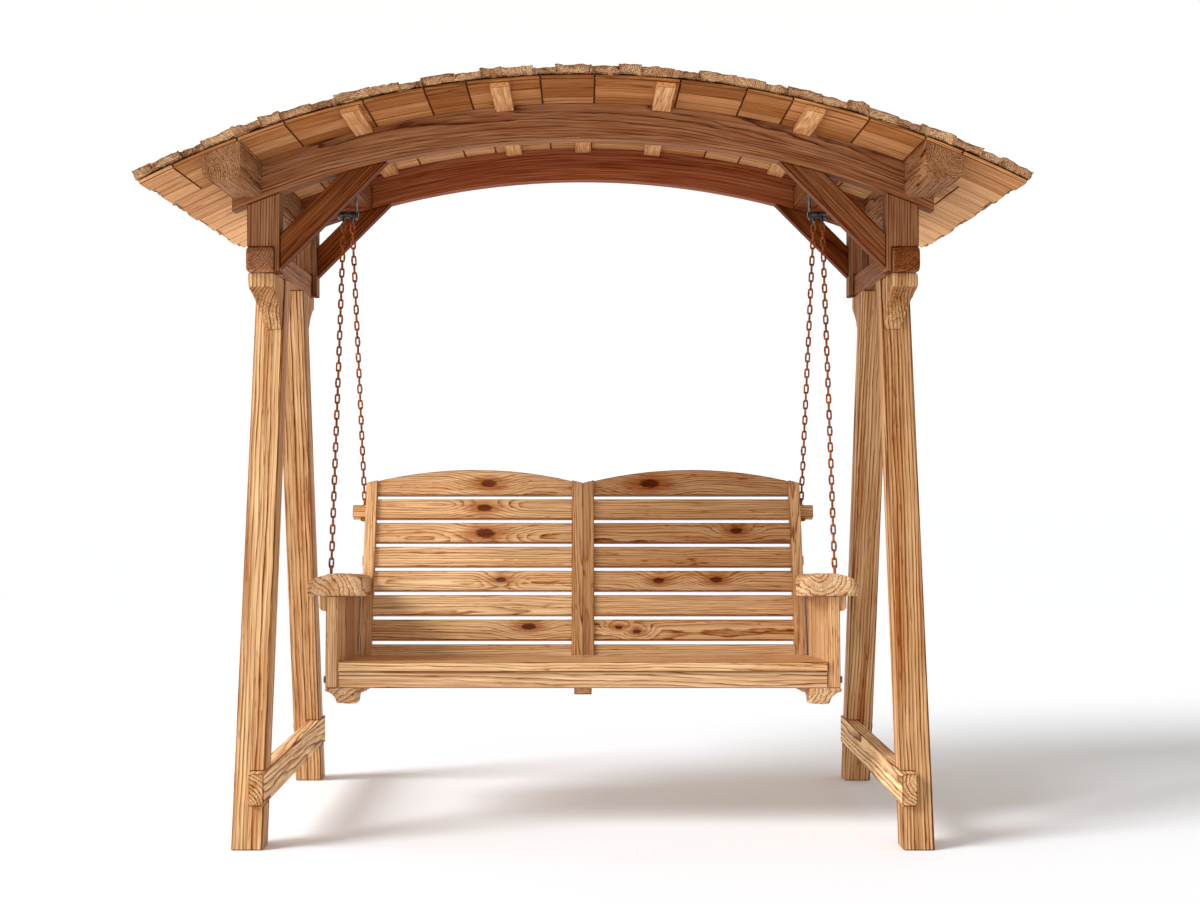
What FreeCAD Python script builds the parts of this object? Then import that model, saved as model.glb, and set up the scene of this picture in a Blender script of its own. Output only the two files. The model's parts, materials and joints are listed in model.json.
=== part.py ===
import FreeCAD, Part
import math
import os

Vec = FreeCAD.Vector

# Legs: square timbers beside the armrests that lean in towards the top, alike at all four corners
leg_clearance = 82.0
leg_size = 85.0
foot_spread = 1172.0
leg_lean = 0.24
leg_height = 1585.0

# Stretchers: one rail per side near the floor, let into the inner faces of the legs
stretcher_thickness = 42.0
stretcher_lap = 40.0
stretcher_height = 88.0
stretcher_bottom = 118.0
stretcher_nose = 30.0

# Cap beams: one across the two leg tops of each side, carrying the head posts at its ends
cap_width = 75.0
cap_height = 70.0
cap_nose = 22.0
cap_rounding = 20.0
corbel_drop = 155.0
corbel_lip = 40.0
corbel_setback = 12.0
corbel_hollow = 14.0
corbel_foot_width = 47.0
head_post_width = 92.0
head_post_depth = 65.0

# Arched beams: two flat arcs across the front and the rear, on the head posts
arch_rise = 406.0
arch_radius = 2591.0
beam_depth = 100.0
beam_thickness = 60.0
beam_spread = 766.0
beam_end = 37.0

# Knee braces at 45 degrees between head post and arched beam
brace_depth = 68.0
brace_thickness = 50.0
front_brace_drop = 10.0
rear_brace_drop = -40.0

# Roof: eave purlins, battens let into the beams, deck boards and split planks
roof_length = 1390.0
roof_half_width = 1176.0
eave_inset = 46.0
eave_width = 100.0
eave_height = 103.0
eave_rounding = 22.0
eave_notch = 23.0
batten_places = (221.0, 618.0)
batten_width = 52.0
batten_height = 14.0
deck_thickness = 12.0
deck_courses = 12
deck_course_gap = 1.5
deck_board_length = 165.0
deck_shortest = 0.6
deck_length_range = 0.8
deck_row_courses = 3
deck_end_step = 14.0
plank_count = 33
plank_thickness = 18.0
plank_extra_thickness = 12.0
plank_overhang = 4.0
plank_extra_overhang = 12.0
plank_gap = 1.2
plank_narrowest = 0.7
plank_width_range = 0.6
golden_step = 0.618034

# Hangers: a rail between the arched beams on each side, with a steel bracket and a pin
hanger_rail_width = 70.0
hanger_rail_height = 70.0
hanger_rail_lift = 2.0
hanger_tenon = 18.0
bracket_plate = 6.0
bracket_length = 96.0
bracket_drop = 62.0
cheek_thickness = 5.0
cheek_radius = 16.0
pin_radius = 5.0
pin_head_radius = 9.0
pin_head_height = 4.0
pin_clearance = 0.05
bush_end = 10.0
bush_wall = 5.0
bush_side_play = 1.0

# Chains: welded links between the swivel eyes and the eye bolts, the front pair outside the seat's
# edge in the arm posts, the rear pair beside the back
front_chain_offset = 28.0
rear_chain_gap = 10.0
link_wire = 4.5
link_inner_width = 8.0
link_pitch = 25.0
link_play = 0.4
eye_radius = 10.0
eye_wire = 6.0

# Seat: measured in its own frame, from the front top edge, before it is tilted back
seat_height = 484.0
seat_tilt = 3.5
seat_half_width = 696.0
seat_depth = 430.0
seat_slat_count = 6
seat_slat_gap = 9.0
seat_slat_thickness = 28.0
apron_height = 47.0
apron_thickness = 32.0
apron_setback = 8.0
side_rail_width = 40.0
bearer_width = 50.0
bearer_below_apron = 20.0
runner_inset = 52.0
runner_outset = 39.0
runner_height = 44.0
runner_setback = 3.0
runner_tail = 60.0
runner_nose = 95.0
runner_step = 22.0
runner_curve = 34.0

# Back: two panels side by side, each with two stiles, slats and an arched top rail
back_lean = 15.5
back_gap = 4.0
back_half_width = 690.0
panel_gap = 0.4
stile_width = 35.0
stile_depth = 38.0
stile_shoulder = 561.0
top_rail_rise = 47.0
back_slat_count = 7
back_slat_height = 65.0
back_slat_gap = 13.7
back_slat_thickness = 20.0
back_slat_setback = 9.0
back_slat_tenon = 10.0
top_slat_drop = 52.0
back_rail_depth = 32.0
upper_rail_height = 40.0
upper_rail_drop = 82.0
upper_rail_end = 35.0
lower_rail_height = 29.0
lower_rail_centre = 316.0
lower_rail_end = 8.0
foot_rail_height = 46.0
foot_rail_centre = -28.0

# Arms: crowned boards on a front post, narrower towards the back, with upright side boards below
arm_underside = 186.0
arm_edge = 40.0
arm_crown = 64.0
arm_inset = 80.0
arm_outset = 88.0
arm_nose = 16.0
arm_tail = 118.0
arm_corner = 24.0
arm_full_width_length = 90.0
arm_taper = 60.0
arm_post_thickness = 36.0
arm_post_depth = 70.0
cleat_thickness = 19.0
cleat_height = 43.0
cleat_depth = 60.0
cleat_rounding = 14.0
side_board_count = 5
side_board_thickness = 20.0
side_board_gap = 6.0
side_board_cover = 50.0
arm_eye_y = 54.0
eye_shank_radius = 4.0
eye_shank_depth = 90.0
eye_washer_radius = 11.0
eye_washer_height = 2.5
eye_nut_height = 7.0

# Fasteners
bolt_radius = 5.0
bolt_head_radius = 10.0
bolt_head_height = 6.0
bolt_end_cover = 6.0
bolt_pitch = 44.0
cap_screw_bite = 70.0
hanger_screw_bite = 50.0
arm_screw_bite = 12.0
screw_radius = 2.5
screw_head_radius = 5.0
screw_head_height = 3.0
screw_bite = 25.0

# How near two places have to be to count as the same
touch = 0.5

# Sizes that follow from the ones above: across the seat and the stand
arm_inner_x = seat_half_width - arm_inset
arm_outer_x = seat_half_width + arm_outset
arm_post_outer_x = seat_half_width + arm_post_thickness
runner_inner_x = seat_half_width - runner_inset
runner_outer_x = seat_half_width + runner_outset
front_chain_x = seat_half_width + front_chain_offset
rear_chain_x = back_half_width + rear_chain_gap
hang_x = (front_chain_x + rear_chain_x) / 2
bush_length = abs(front_chain_x - rear_chain_x) + 2 * bush_end
upper_rail_half_length = rear_chain_x + upper_rail_end
lower_rail_half_length = back_half_width + lower_rail_end
leg_inner_x = arm_outer_x + leg_clearance
leg_outer_x = leg_inner_x + leg_size
cap_outer_x = leg_outer_x - (leg_size - cap_width) / 2
cap_inner_x = cap_outer_x - cap_width
cap_middle_x = (cap_inner_x + cap_outer_x) / 2
head_post_inner_x = cap_outer_x - head_post_width
hanger_inner_x = hang_x - hanger_rail_width / 2
hanger_outer_x = hang_x + hanger_rail_width / 2
beam_half_length = leg_outer_x + beam_end
eave_inner_x = leg_outer_x - eave_inset

# From front to rear
leg_run = leg_size * math.sqrt(1.0 + leg_lean ** 2)
beam_front = beam_spread / 2
beam_back = beam_front - beam_thickness
beam_middle = (beam_front + beam_back) / 2
cap_half_length = beam_front + cap_nose
roof_end = roof_length / 2
slat_depth = (seat_depth - (seat_slat_count - 1) * seat_slat_gap) / seat_slat_count
lean_slope = math.tan(math.radians(back_lean))
back_y = seat_depth + seat_slat_thickness * lean_slope + back_gap
arm_front = -arm_nose
arm_rear = seat_depth + arm_tail
side_board_rear = back_y + arm_underside * lean_slope + side_board_cover / math.cos(math.radians(back_lean))

# Heights
cap_top = leg_height + cap_height
front_brace_foot = cap_top - front_brace_drop
rear_brace_foot = cap_top - rear_brace_drop
arch_top = cap_top + arch_rise
arch_centre_z = arch_top - arch_radius
beam_radius = arch_radius - beam_depth
deck_radius = arch_radius + deck_thickness
eave_bottom = arch_centre_z + math.sqrt(arch_radius ** 2 - eave_inner_x ** 2) - eave_height
eave_seat = eave_bottom + eave_notch
beam_underside = arch_centre_z + math.sqrt(beam_radius ** 2 - hanger_inner_x ** 2)
hanger_rail_bottom = beam_underside + hanger_rail_lift
plate_z = hanger_rail_bottom - bracket_plate
pivot_z = plate_z - bracket_drop
rail_top = -seat_slat_thickness
rail_bottom = rail_top - apron_height
runner_bottom = rail_bottom - runner_height
top_slat_height = stile_shoulder - top_slat_drop
upper_rail_centre = stile_shoulder - upper_rail_drop
back_top = stile_shoulder + top_rail_rise
bush_bore = pin_radius + pin_clearance
bush_radius = bush_bore + bush_wall
eye_drop = bush_radius + eye_radius


def block(x, y, z):
    """A box between two values on each axis."""
    return Part.makeBox(x[1] - x[0], y[1] - y[0], z[1] - z[0], Vec(x[0], y[0], z[0]))


def slab(edges, direction):
    """A solid made by pushing the face inside a closed run of edges along a direction."""
    return Part.Face(Part.Wire(edges)).extrude(direction)


def polygon(points):
    """The edges of a closed polygon."""
    return [Part.makeLine(a, b) for a, b in zip(points, points[1:] + points[:1])]


def side_prism(outline, x):
    """A solid with an outline of (y, z) points seen from the side, between two x values."""
    return slab(polygon([Vec(x[0], y, z) for y, z in outline]), Vec(x[1] - x[0], 0, 0))


def front_prism(outline, y):
    """A solid with an outline of (x, z) points seen from the front, between two y values."""
    return slab(polygon([Vec(x, y[0], z) for x, z in outline]), Vec(0, y[1] - y[0], 0))


def other_side(shape):
    """The same piece on the left of the middle plane."""
    return shape.mirror(Vec(0, 0, 0), Vec(1, 0, 0))


def other_end(shape):
    """The same piece at the rear."""
    return shape.mirror(Vec(0, 0, 0), Vec(0, 1, 0))


def rod(radius, start, reach):
    """A round bar that starts at a point and goes as far as a vector."""
    return Part.makeCylinder(radius, reach.Length, start, reach)


def near(value, place):
    """Whether a coordinate lies at a place."""
    return abs(value - place) < touch


def rounded(shape, radius, wanted):
    """The shape with the edges whose middle passes the test rounded off."""
    return shape.makeFillet(radius, [e for e in shape.Edges if wanted(e.CenterOfMass)])


def arch_point(radius, angle, y):
    """A point on a circle round the arch centre, at an angle from straight up."""
    return Vec(radius * math.sin(angle), y, arch_centre_z + radius * math.cos(angle))


def arch_piece(inner, outer, start, end, y):
    """A piece of ring round the arch centre between two radii, two angles and two y values."""
    middle = (start + end) / 2
    over = [arch_point(outer, a, y[0]) for a in (start, middle, end)]
    under = [arch_point(inner, a, y[0]) for a in (end, middle, start)]
    edges = [
        Part.Arc(*over).toShape(),
        Part.makeLine(over[2], under[0]),
        Part.Arc(*under).toShape(),
        Part.makeLine(under[2], over[0]),
    ]
    return slab(edges, Vec(0, y[1] - y[0], 0))


def under_arch(radius):
    """Everything inside a circle round the arch centre, over the whole length of the roof."""
    return rod(radius, Vec(0, -roof_length, arch_centre_z), Vec(0, 2 * roof_length, 0))


def spread(index):
    """An even but irregular sequence of values from 0 to 1."""
    return (index * golden_step) % 1.0


def leg_face(height):
    """How far the outer face of a front or rear leg lies from the middle at a height."""
    return foot_spread / 2 - leg_lean * height


def coach_screw(seat, direction, length):
    """A round-headed screw whose head rests at a point and whose shank runs along a direction."""
    head = rod(bolt_head_radius, seat, direction * -bolt_head_height)
    return head.fuse(rod(bolt_radius, seat, direction * length)).removeSplitter()


def sunk_screw(surface, direction, length):
    """A screw with its head let in flush at a surface point and its shank along a direction."""
    head = rod(screw_head_radius, surface, direction * screw_head_height)
    return head.fuse(rod(screw_radius, surface, direction * length)).removeSplitter()


def eye(centre):
    """A wire ring in the plane across the pins."""
    return Part.makeTorus(eye_radius, eye_wire / 2, centre, Vec(1, 0, 0))


# Legs and stretchers
stretcher_inner_x = leg_inner_x + stretcher_lap - stretcher_thickness
stretcher_middle = stretcher_bottom + stretcher_height / 2
stretcher_reach = leg_face(stretcher_middle) + stretcher_nose
stretcher = block(
    (stretcher_inner_x, leg_inner_x + stretcher_lap),
    (-stretcher_reach, stretcher_reach),
    (stretcher_bottom, stretcher_bottom + stretcher_height),
)
stand_screws = []
for step in (-0.5, 0.5):
    height = stretcher_middle + step * bolt_pitch
    seat_point = Vec(leg_outer_x, -leg_face(height) + leg_run / 2, height)
    reach = leg_outer_x - stretcher_inner_x - bolt_end_cover
    stand_screws.append(coach_screw(seat_point, Vec(-1, 0, 0), reach))
leg_outline = [
    (-leg_face(0), 0),
    (-leg_face(0) + leg_run, 0),
    (-leg_face(leg_height) + leg_run, leg_height),
    (-leg_face(leg_height), leg_height),
]
cap_screw = coach_screw(
    Vec(cap_middle_x, -leg_face(leg_height) + leg_run / 2, cap_top),
    Vec(0, 0, -1),
    cap_height + cap_screw_bite,
)
stand_screws.append(cap_screw)
stretcher = stretcher.cut(stand_screws + [other_end(s) for s in stand_screws])
leg = side_prism(leg_outline, (leg_inner_x, leg_outer_x)).cut([stretcher] + stand_screws)

# Cap beams with rounded noses, corbels below and head posts above
cap = block((cap_inner_x, cap_outer_x), (-cap_half_length, cap_half_length), (leg_height, cap_top))
cap = rounded(cap, cap_rounding, lambda c: near(c.x, cap_middle_x) and near(abs(c.y), cap_half_length))
cap = cap.cut([cap_screw, other_end(cap_screw)])

corbel_front = cap_half_length - cap_rounding - corbel_setback
corbel_bottom = leg_height - corbel_drop
lip_z = leg_height - corbel_lip
toe_y = -leg_face(corbel_bottom)
corbel_heel = Vec(cap_inner_x, -leg_face(leg_height), leg_height)
corbel_nose = Vec(cap_inner_x, -corbel_front, leg_height)
corbel_chin = Vec(cap_inner_x, -corbel_front, lip_z)
corbel_toe = Vec(cap_inner_x, toe_y, corbel_bottom)
corbel_throat = (corbel_chin + corbel_toe) / 2 + Vec(0, corbel_hollow, corbel_hollow)
corbel_edges = [
    Part.makeLine(corbel_heel, corbel_nose),
    Part.makeLine(corbel_nose, corbel_chin),
    Part.Arc(corbel_chin, corbel_throat, corbel_toe).toShape(),
    Part.makeLine(corbel_toe, corbel_heel),
]
corbel = slab(corbel_edges, Vec(cap_width, 0, 0))
taper = front_prism(
    [(cap_outer_x, lip_z), (cap_outer_x, corbel_bottom), (cap_inner_x + corbel_foot_width, corbel_bottom)],
    (-cap_half_length, 0),
)
corbel = corbel.cut(taper)

head_post = block((head_post_inner_x, cap_outer_x), (-beam_front, head_post_depth - beam_front),
                  (leg_height, arch_top))
head_post = head_post.common(under_arch(beam_radius)).cut(cap)

# Roof battens and eave purlins
batten_angles = sorted({side * math.asin(x / arch_radius) for x in batten_places for side in (-1, 1)})
half_batten = batten_width / 2 / arch_radius
batten_radius = arch_radius - batten_height
battens = [
    arch_piece(batten_radius, arch_radius, a - half_batten, a + half_batten, (-roof_end, roof_end))
    for a in batten_angles
]
battens.append(arch_piece(batten_radius, arch_radius, -half_batten, half_batten, (-beam_back, beam_back)))
eave = block((eave_inner_x, eave_inner_x + eave_width), (-roof_end, roof_end), (eave_bottom, arch_top))
eave = rounded(eave, eave_rounding, lambda c: near(c.z, eave_bottom) and near(c.y, 0))
eave = eave.common(under_arch(arch_radius))

# Hanger rails, tenoned into the arched beams
hanger_rail = block(
    (hanger_inner_x, hanger_outer_x),
    (-beam_back - hanger_tenon, beam_back + hanger_tenon),
    (hanger_rail_bottom, hanger_rail_bottom + hanger_rail_height),
)

# Arched beams, notched for the eave purlins, the battens and the hanger rails
beam_angle = math.asin(beam_half_length / beam_radius)
beam = arch_piece(beam_radius, arch_radius, -beam_angle, beam_angle, (-beam_front, -beam_back))
beam = beam.common(block((-beam_half_length, beam_half_length), (-beam_front, -beam_back), (0, arch_top)))
notch = block((eave_inner_x, beam_half_length), (-beam_front, -beam_back), (eave_seat, arch_top))
beam = beam.cut(battens + [notch, other_side(notch), hanger_rail, other_side(hanger_rail)])
eave = eave.cut([beam, other_end(beam)])

# Knee braces, cut to the head post and to the underside of the beam
brace_run = head_post_inner_x
half_depth = brace_depth / 2 * math.sqrt(2.0)


def knee_brace(foot):
    """A brace under the front beam, with the middle of its foot at a height on the head post."""
    outline = [
        (head_post_inner_x, foot - half_depth),
        (head_post_inner_x, foot + half_depth),
        (head_post_inner_x - brace_run, foot + half_depth + brace_run),
        (head_post_inner_x - brace_run, foot - half_depth + brace_run),
    ]
    brace = front_prism(outline, (-beam_middle - brace_thickness / 2, -beam_middle + brace_thickness / 2))
    return brace.common(under_arch(beam_radius))


front_brace = knee_brace(front_brace_foot)
rear_brace = other_end(knee_brace(rear_brace_foot))

# Deck boards: courses along the arch, with joints that line up over a few courses at a time
roof_angle = math.asin(roof_half_width / deck_radius)
course_pitch = roof_length / deck_courses
boards_per_course = round(2 * roof_angle * deck_radius / deck_board_length)
deck_boards = []
for course in range(deck_courses):
    y0 = -roof_end + course * course_pitch + deck_course_gap / 2
    y1 = y0 + course_pitch - deck_course_gap
    left_end = -roof_angle + deck_end_step * spread(course) / deck_radius
    right_end = roof_angle - deck_end_step * spread(course + 5) / deck_radius
    row = course // deck_row_courses
    shares = [deck_shortest + deck_length_range * spread(k + 4 * row) for k in range(boards_per_course)]
    joints = [roof_angle * (2 * sum(shares[:k]) / sum(shares) - 1) for k in range(1, boards_per_course)]
    stops = [left_end] + joints + [right_end]
    joint_half = deck_course_gap / 2 / deck_radius
    for k in range(boards_per_course):
        start = stops[k] + joint_half
        end = stops[k + 1] - joint_half
        deck_boards.append(arch_piece(arch_radius, deck_radius, start, end, (y0, y1)))

# Split planks from front to rear on the deck, uneven in width, thickness and length
plank_shares = [plank_narrowest + plank_width_range * spread(k) for k in range(plank_count)]
planks = []
start = -roof_angle
for k in range(plank_count):
    end = start + 2 * roof_angle * plank_shares[k] / sum(plank_shares)
    top = deck_radius + plank_thickness + plank_extra_thickness * spread(k + 3)
    front = roof_end + plank_overhang + plank_extra_overhang * spread(k + 7)
    rear = roof_end + plank_overhang + plank_extra_overhang * spread(k + 11)
    gap_angle = plank_gap / 2 / deck_radius
    planks.append(arch_piece(deck_radius, top, start + gap_angle, end - gap_angle, (-front, rear)))
    start = end

# Hanger brackets with two cheeks, and the pins through them
cheek_inner = bush_length / 2 + bush_side_play
cheek_outer = cheek_inner + cheek_thickness
plate = block((hang_x - cheek_outer, hang_x + cheek_outer), (-bracket_length / 2, bracket_length / 2),
              (plate_z, hanger_rail_bottom))
cheeks = []
for x in (hang_x - cheek_outer, hang_x + cheek_inner):
    cheeks.append(block((x, x + cheek_thickness), (-cheek_radius, cheek_radius), (pivot_z, plate_z)))
    cheeks.append(rod(cheek_radius, Vec(x, 0, pivot_z), Vec(cheek_thickness, 0, 0)))
bracket = plate.fuse(cheeks).removeSplitter()
pin_start = Vec(hang_x - cheek_outer, 0, pivot_z)
pin_end = Vec(hang_x + cheek_outer, 0, pivot_z)
pin = rod(pin_radius, pin_start, pin_end - pin_start)
pin_head = rod(pin_head_radius, pin_end, Vec(pin_head_height, 0, 0))
pin_cap = rod(pin_head_radius, pin_start, Vec(-pin_head_height, 0, 0))
pin = pin.fuse([pin_head, pin_cap]).removeSplitter()
bracket = bracket.cut(pin)
hanger_screws = []
for y in (-1, 1):
    place = Vec(hang_x, y * (bracket_length / 2 + cheek_radius) / 2, plate_z)
    hanger_screws.append(coach_screw(place, Vec(0, 0, 1), bracket_plate + hanger_screw_bite))
bracket = bracket.cut(hanger_screws)
hanger_rail = hanger_rail.cut(hanger_screws)

# Seat frame of the swing, in the seat's own frame
seat = {}
slats = []
slat_screws = []
side_rail_inner = seat_half_width - side_rail_width
side_rail_middle = seat_half_width - side_rail_width / 2
back_turn = FreeCAD.Placement(Vec(0, back_y, 0), FreeCAD.Rotation(Vec(1, 0, 0), -back_lean))


def in_back(shape):
    """A piece of the back, drawn upright, moved to its lean in the seat's frame."""
    moved = shape.copy()
    moved.Placement = back_turn.multiply(moved.Placement)
    return moved


behind = in_back(block((-arm_outer_x, arm_outer_x), (0, seat_depth), (-seat_depth, seat_depth)))
for k in range(seat_slat_count):
    y0 = k * (slat_depth + seat_slat_gap)
    slats.append(block((-seat_half_width, seat_half_width), (y0, y0 + slat_depth), (rail_top, 0)))
    for x in (-side_rail_middle, 0.0, side_rail_middle):
        slat_screws.append(sunk_screw(Vec(x, y0 + slat_depth / 2, 0), Vec(0, 0, -1),
                                      seat_slat_thickness + screw_bite))

apron_back = apron_setback + apron_thickness
seat["front_apron"] = block((-seat_half_width, seat_half_width), (apron_setback, apron_back),
                            (rail_bottom, rail_top)).cut(slat_screws)
side_rail = block((side_rail_inner, seat_half_width), (apron_back, back_y), (rail_bottom, rail_top))
side_rail = side_rail.cut([behind] + slat_screws)
bearer = block((-bearer_width / 2, bearer_width / 2), (apron_back, back_y),
               (rail_bottom - bearer_below_apron, rail_top))
seat["centre_bearer"] = bearer.cut([behind] + slat_screws)
seat["seat_slats"] = Part.makeCompound([s.cut(slat_screws) for s in slats])

runner_rear = back_y + runner_tail
runner_outline = [
    (runner_setback, rail_bottom),
    (runner_setback, runner_bottom),
    (runner_nose, runner_bottom),
    (runner_nose + runner_step, runner_bottom + runner_step),
    (runner_rear, runner_bottom + runner_step),
    (runner_rear, rail_bottom),
]
runner = side_prism(runner_outline, (runner_inner_x, runner_outer_x))
runner = runner.cut(rod(runner_curve, Vec(runner_outer_x, 0, runner_bottom), Vec(0, runner_rear, 0)))

# Back panels, drawn upright: x across, y towards the rear, z along the back
panel_inner = panel_gap / 2
panel_span = back_half_width - panel_inner
panel_middle = panel_inner + panel_span / 2
top_radius = (panel_span ** 2 / 4 + top_rail_rise ** 2) / (2 * top_rail_rise)
top_round = rod(top_radius, Vec(panel_middle, 0, back_top - top_radius), Vec(0, stile_depth, 0))
below_shoulder = block((panel_inner, back_half_width), (0, stile_depth), (-seat_depth, stile_shoulder))
stiles = []
for x in (panel_inner, back_half_width - stile_width):
    stile = block((x, x + stile_width), (0, stile_depth), (-seat_depth, back_top))
    stiles.append(stile.common(top_round.fuse(below_shoulder)))
slat_x = (panel_inner + stile_width - back_slat_tenon, back_half_width - stile_width + back_slat_tenon)
slat_y = (back_slat_setback, back_slat_setback + back_slat_thickness)
back_slats = []
for k in range(back_slat_count):
    top = top_slat_height - k * (back_slat_height + back_slat_gap)
    back_slats.append(block(slat_x, slat_y, (top - back_slat_height, top)))
top_rail = block(slat_x, slat_y, (top_slat_height + back_slat_gap, back_top)).common(top_round)
rail_y = (stile_depth, stile_depth + back_rail_depth)


def back_rail(half_length, centre, height):
    """A cross rail behind the stiles."""
    return block((-half_length, half_length), rail_y, (centre - height / 2, centre + height / 2))


rail_sizes = {
    "upper_back_rail": (upper_rail_half_length, upper_rail_centre, upper_rail_height),
    "lower_back_rail": (lower_rail_half_length, lower_rail_centre, lower_rail_height),
    "foot_back_rail": (back_half_width, foot_rail_centre, foot_rail_height),
}
back_screws = []
for half_length, centre, height in rail_sizes.values():
    for x in (panel_inner + stile_width / 2, back_half_width - stile_width / 2):
        surface = Vec(x, rail_y[1], centre)
        back_screws.append(sunk_screw(surface, Vec(0, -1, 0), back_rail_depth + screw_bite))
back_screws += [other_side(s) for s in back_screws]

# Eye bolts: the rear pair stands in the ends of the upper rail, the front pair in the arm posts
upper_top = upper_rail_centre + upper_rail_height / 2
eye_lift = eye_washer_height + eye_wire / 2 + eye_radius


def eye_bolt(x, y, surface, depth):
    """An eye standing on a washer at a surface height, with its shank going down into the wood."""
    ring = eye(Vec(x, y, surface + eye_lift))
    washer = rod(eye_washer_radius, Vec(x, y, surface), Vec(0, 0, eye_washer_height))
    shank_length = depth + eye_washer_height + eye_wire / 2
    shank = rod(eye_shank_radius, Vec(x, y, surface - depth), Vec(0, 0, shank_length))
    return ring.fuse([washer, shank]).removeSplitter()


rail_middle = stile_depth + back_rail_depth / 2
rear_eye = eye_bolt(rear_chain_x, rail_middle, upper_top, upper_rail_height + eye_nut_height)
rail_underside = Vec(rear_chain_x, rail_middle, upper_top - upper_rail_height)
rear_nut = rod(eye_washer_radius, rail_underside, Vec(0, 0, -eye_nut_height))
rear_eye = rear_eye.fuse(rear_nut).removeSplitter()
eyes_and_nuts = [rear_eye, other_side(rear_eye)]

below_stile = block((-arm_outer_x, arm_outer_x), (0, 2 * seat_depth), (-seat_depth, rail_bottom))
for name, stile in zip(("inner", "outer"), stiles):
    stile = in_back(stile.cut(back_slats + [top_rail] + back_screws)).cut(below_stile)
    seat["back_stile_%s_right" % name] = stile
    seat["back_stile_%s_left" % name] = other_side(stile)
right_slats = Part.makeCompound([in_back(s) for s in back_slats])
seat["back_slats_right"] = right_slats
seat["back_slats_left"] = other_side(right_slats)
seat["top_rail_right"] = in_back(top_rail)
seat["top_rail_left"] = other_side(in_back(top_rail))
for name, (half_length, centre, height) in rail_sizes.items():
    seat[name] = in_back(back_rail(half_length, centre, height).cut(back_screws + eyes_and_nuts))
seat["back_eye_bolts"] = Part.makeCompound([in_back(s) for s in eyes_and_nuts])

# Arms: post, crowned armrest, cleat and side boards on each side
arm_width = arm_outer_x - arm_inner_x
arm_middle = (arm_inner_x + arm_outer_x) / 2
crown_rise = arm_crown - arm_edge
crown_radius = (arm_width ** 2 / 4 + crown_rise ** 2) / (2 * crown_rise)
arm_top = arm_underside + arm_crown
crown_z = arm_top - crown_radius
crown = rod(crown_radius, Vec(arm_middle, arm_front, crown_z), Vec(0, arm_rear - arm_front, 0))
armrest = block((arm_inner_x, arm_outer_x), (arm_front, arm_rear), (arm_underside, arm_top))
arm_halfway = arm_underside + arm_crown / 2
armrest = rounded(armrest, arm_corner, lambda c: near(c.y, arm_front) and near(c.z, arm_halfway))
arm_waist = [
    Vec(arm_inner_x, arm_full_width_length, arm_underside),
    Vec(arm_inner_x + arm_taper, arm_rear, arm_underside),
    Vec(arm_inner_x, arm_rear, arm_underside),
]
armrest = armrest.common(crown).cut(slab(polygon(arm_waist), Vec(0, 0, arm_crown)))
eye_offset = front_chain_x - arm_middle
spot_offset = abs(eye_offset) + eye_washer_radius
spot_height = crown_z + math.sqrt(crown_radius ** 2 - spot_offset ** 2)
arm_eye = eye_bolt(front_chain_x, arm_eye_y, spot_height, spot_height - arm_underside + eye_shank_depth)
spot = rod(eye_washer_radius, Vec(front_chain_x, arm_eye_y, spot_height), Vec(0, 0, arm_crown))
back_room = in_back(block((0, back_half_width), (0, arm_rear), (-arm_rear, arm_rear)))
armrest = armrest.cut([spot, arm_eye, back_room])
arm_post = block((seat_half_width, arm_post_outer_x), (apron_setback, apron_setback + arm_post_depth),
                 (rail_bottom, arm_underside))
post_middle = apron_setback + arm_post_depth / 2
arm_screws = []
for side_y in (post_middle - arm_post_depth / 4, post_middle + arm_post_depth / 4):
    place = Vec(arm_post_outer_x, side_y, (rail_top + rail_bottom) / 2)
    arm_screws.append(coach_screw(place, Vec(-1, 0, 0), arm_post_thickness + arm_screw_bite))
arm_post = arm_post.cut(arm_screws + [arm_eye])
cleat_y = (post_middle - cleat_depth / 2, post_middle + cleat_depth / 2)
cleat_face = arm_post_outer_x + cleat_thickness
cleat_foot = arm_underside - cleat_height
cleat = block((arm_post_outer_x, cleat_face), cleat_y, (cleat_foot, arm_underside))
cleat = rounded(cleat, cleat_rounding, lambda c: near(c.x, cleat_face) and near(c.z, cleat_foot))
board_start = apron_setback + arm_post_depth + side_board_gap
board_pitch = (side_board_rear + side_board_gap - board_start) / side_board_count
side_board_x = (seat_half_width, seat_half_width + side_board_thickness)
past_stile = in_back(block(side_board_x, (side_board_cover, seat_depth), (-seat_depth, seat_depth)))
side_boards = []
for k in range(side_board_count):
    board_y = (board_start + k * board_pitch, board_start + (k + 1) * board_pitch - side_board_gap)
    board = block(side_board_x, board_y, (rail_bottom, arm_underside))
    side_boards.append(board.cut(past_stile))
seat["front_apron"] = seat["front_apron"].cut(arm_screws + [other_side(s) for s in arm_screws])
side_rail = side_rail.cut(arm_screws)
seat["seat_side_rails"] = Part.makeCompound([side_rail, other_side(side_rail)])
seat["side_boards"] = Part.makeCompound(side_boards + [other_side(b) for b in side_boards])
for name, piece in (
    ("end_runner", runner),
    ("armrest", armrest),
    ("arm_post", arm_post),
):
    seat[name + "_right"] = piece
    seat[name + "_left"] = other_side(piece)
seat["arm_cleats"] = Part.makeCompound([cleat, other_side(cleat)])
seat["arm_eye_bolts"] = Part.makeCompound([arm_eye, other_side(arm_eye)])
seat["seat_screws"] = Part.makeCompound(
    slat_screws + arm_screws + [other_side(s) for s in arm_screws] + [in_back(s) for s in back_screws]
)

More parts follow.
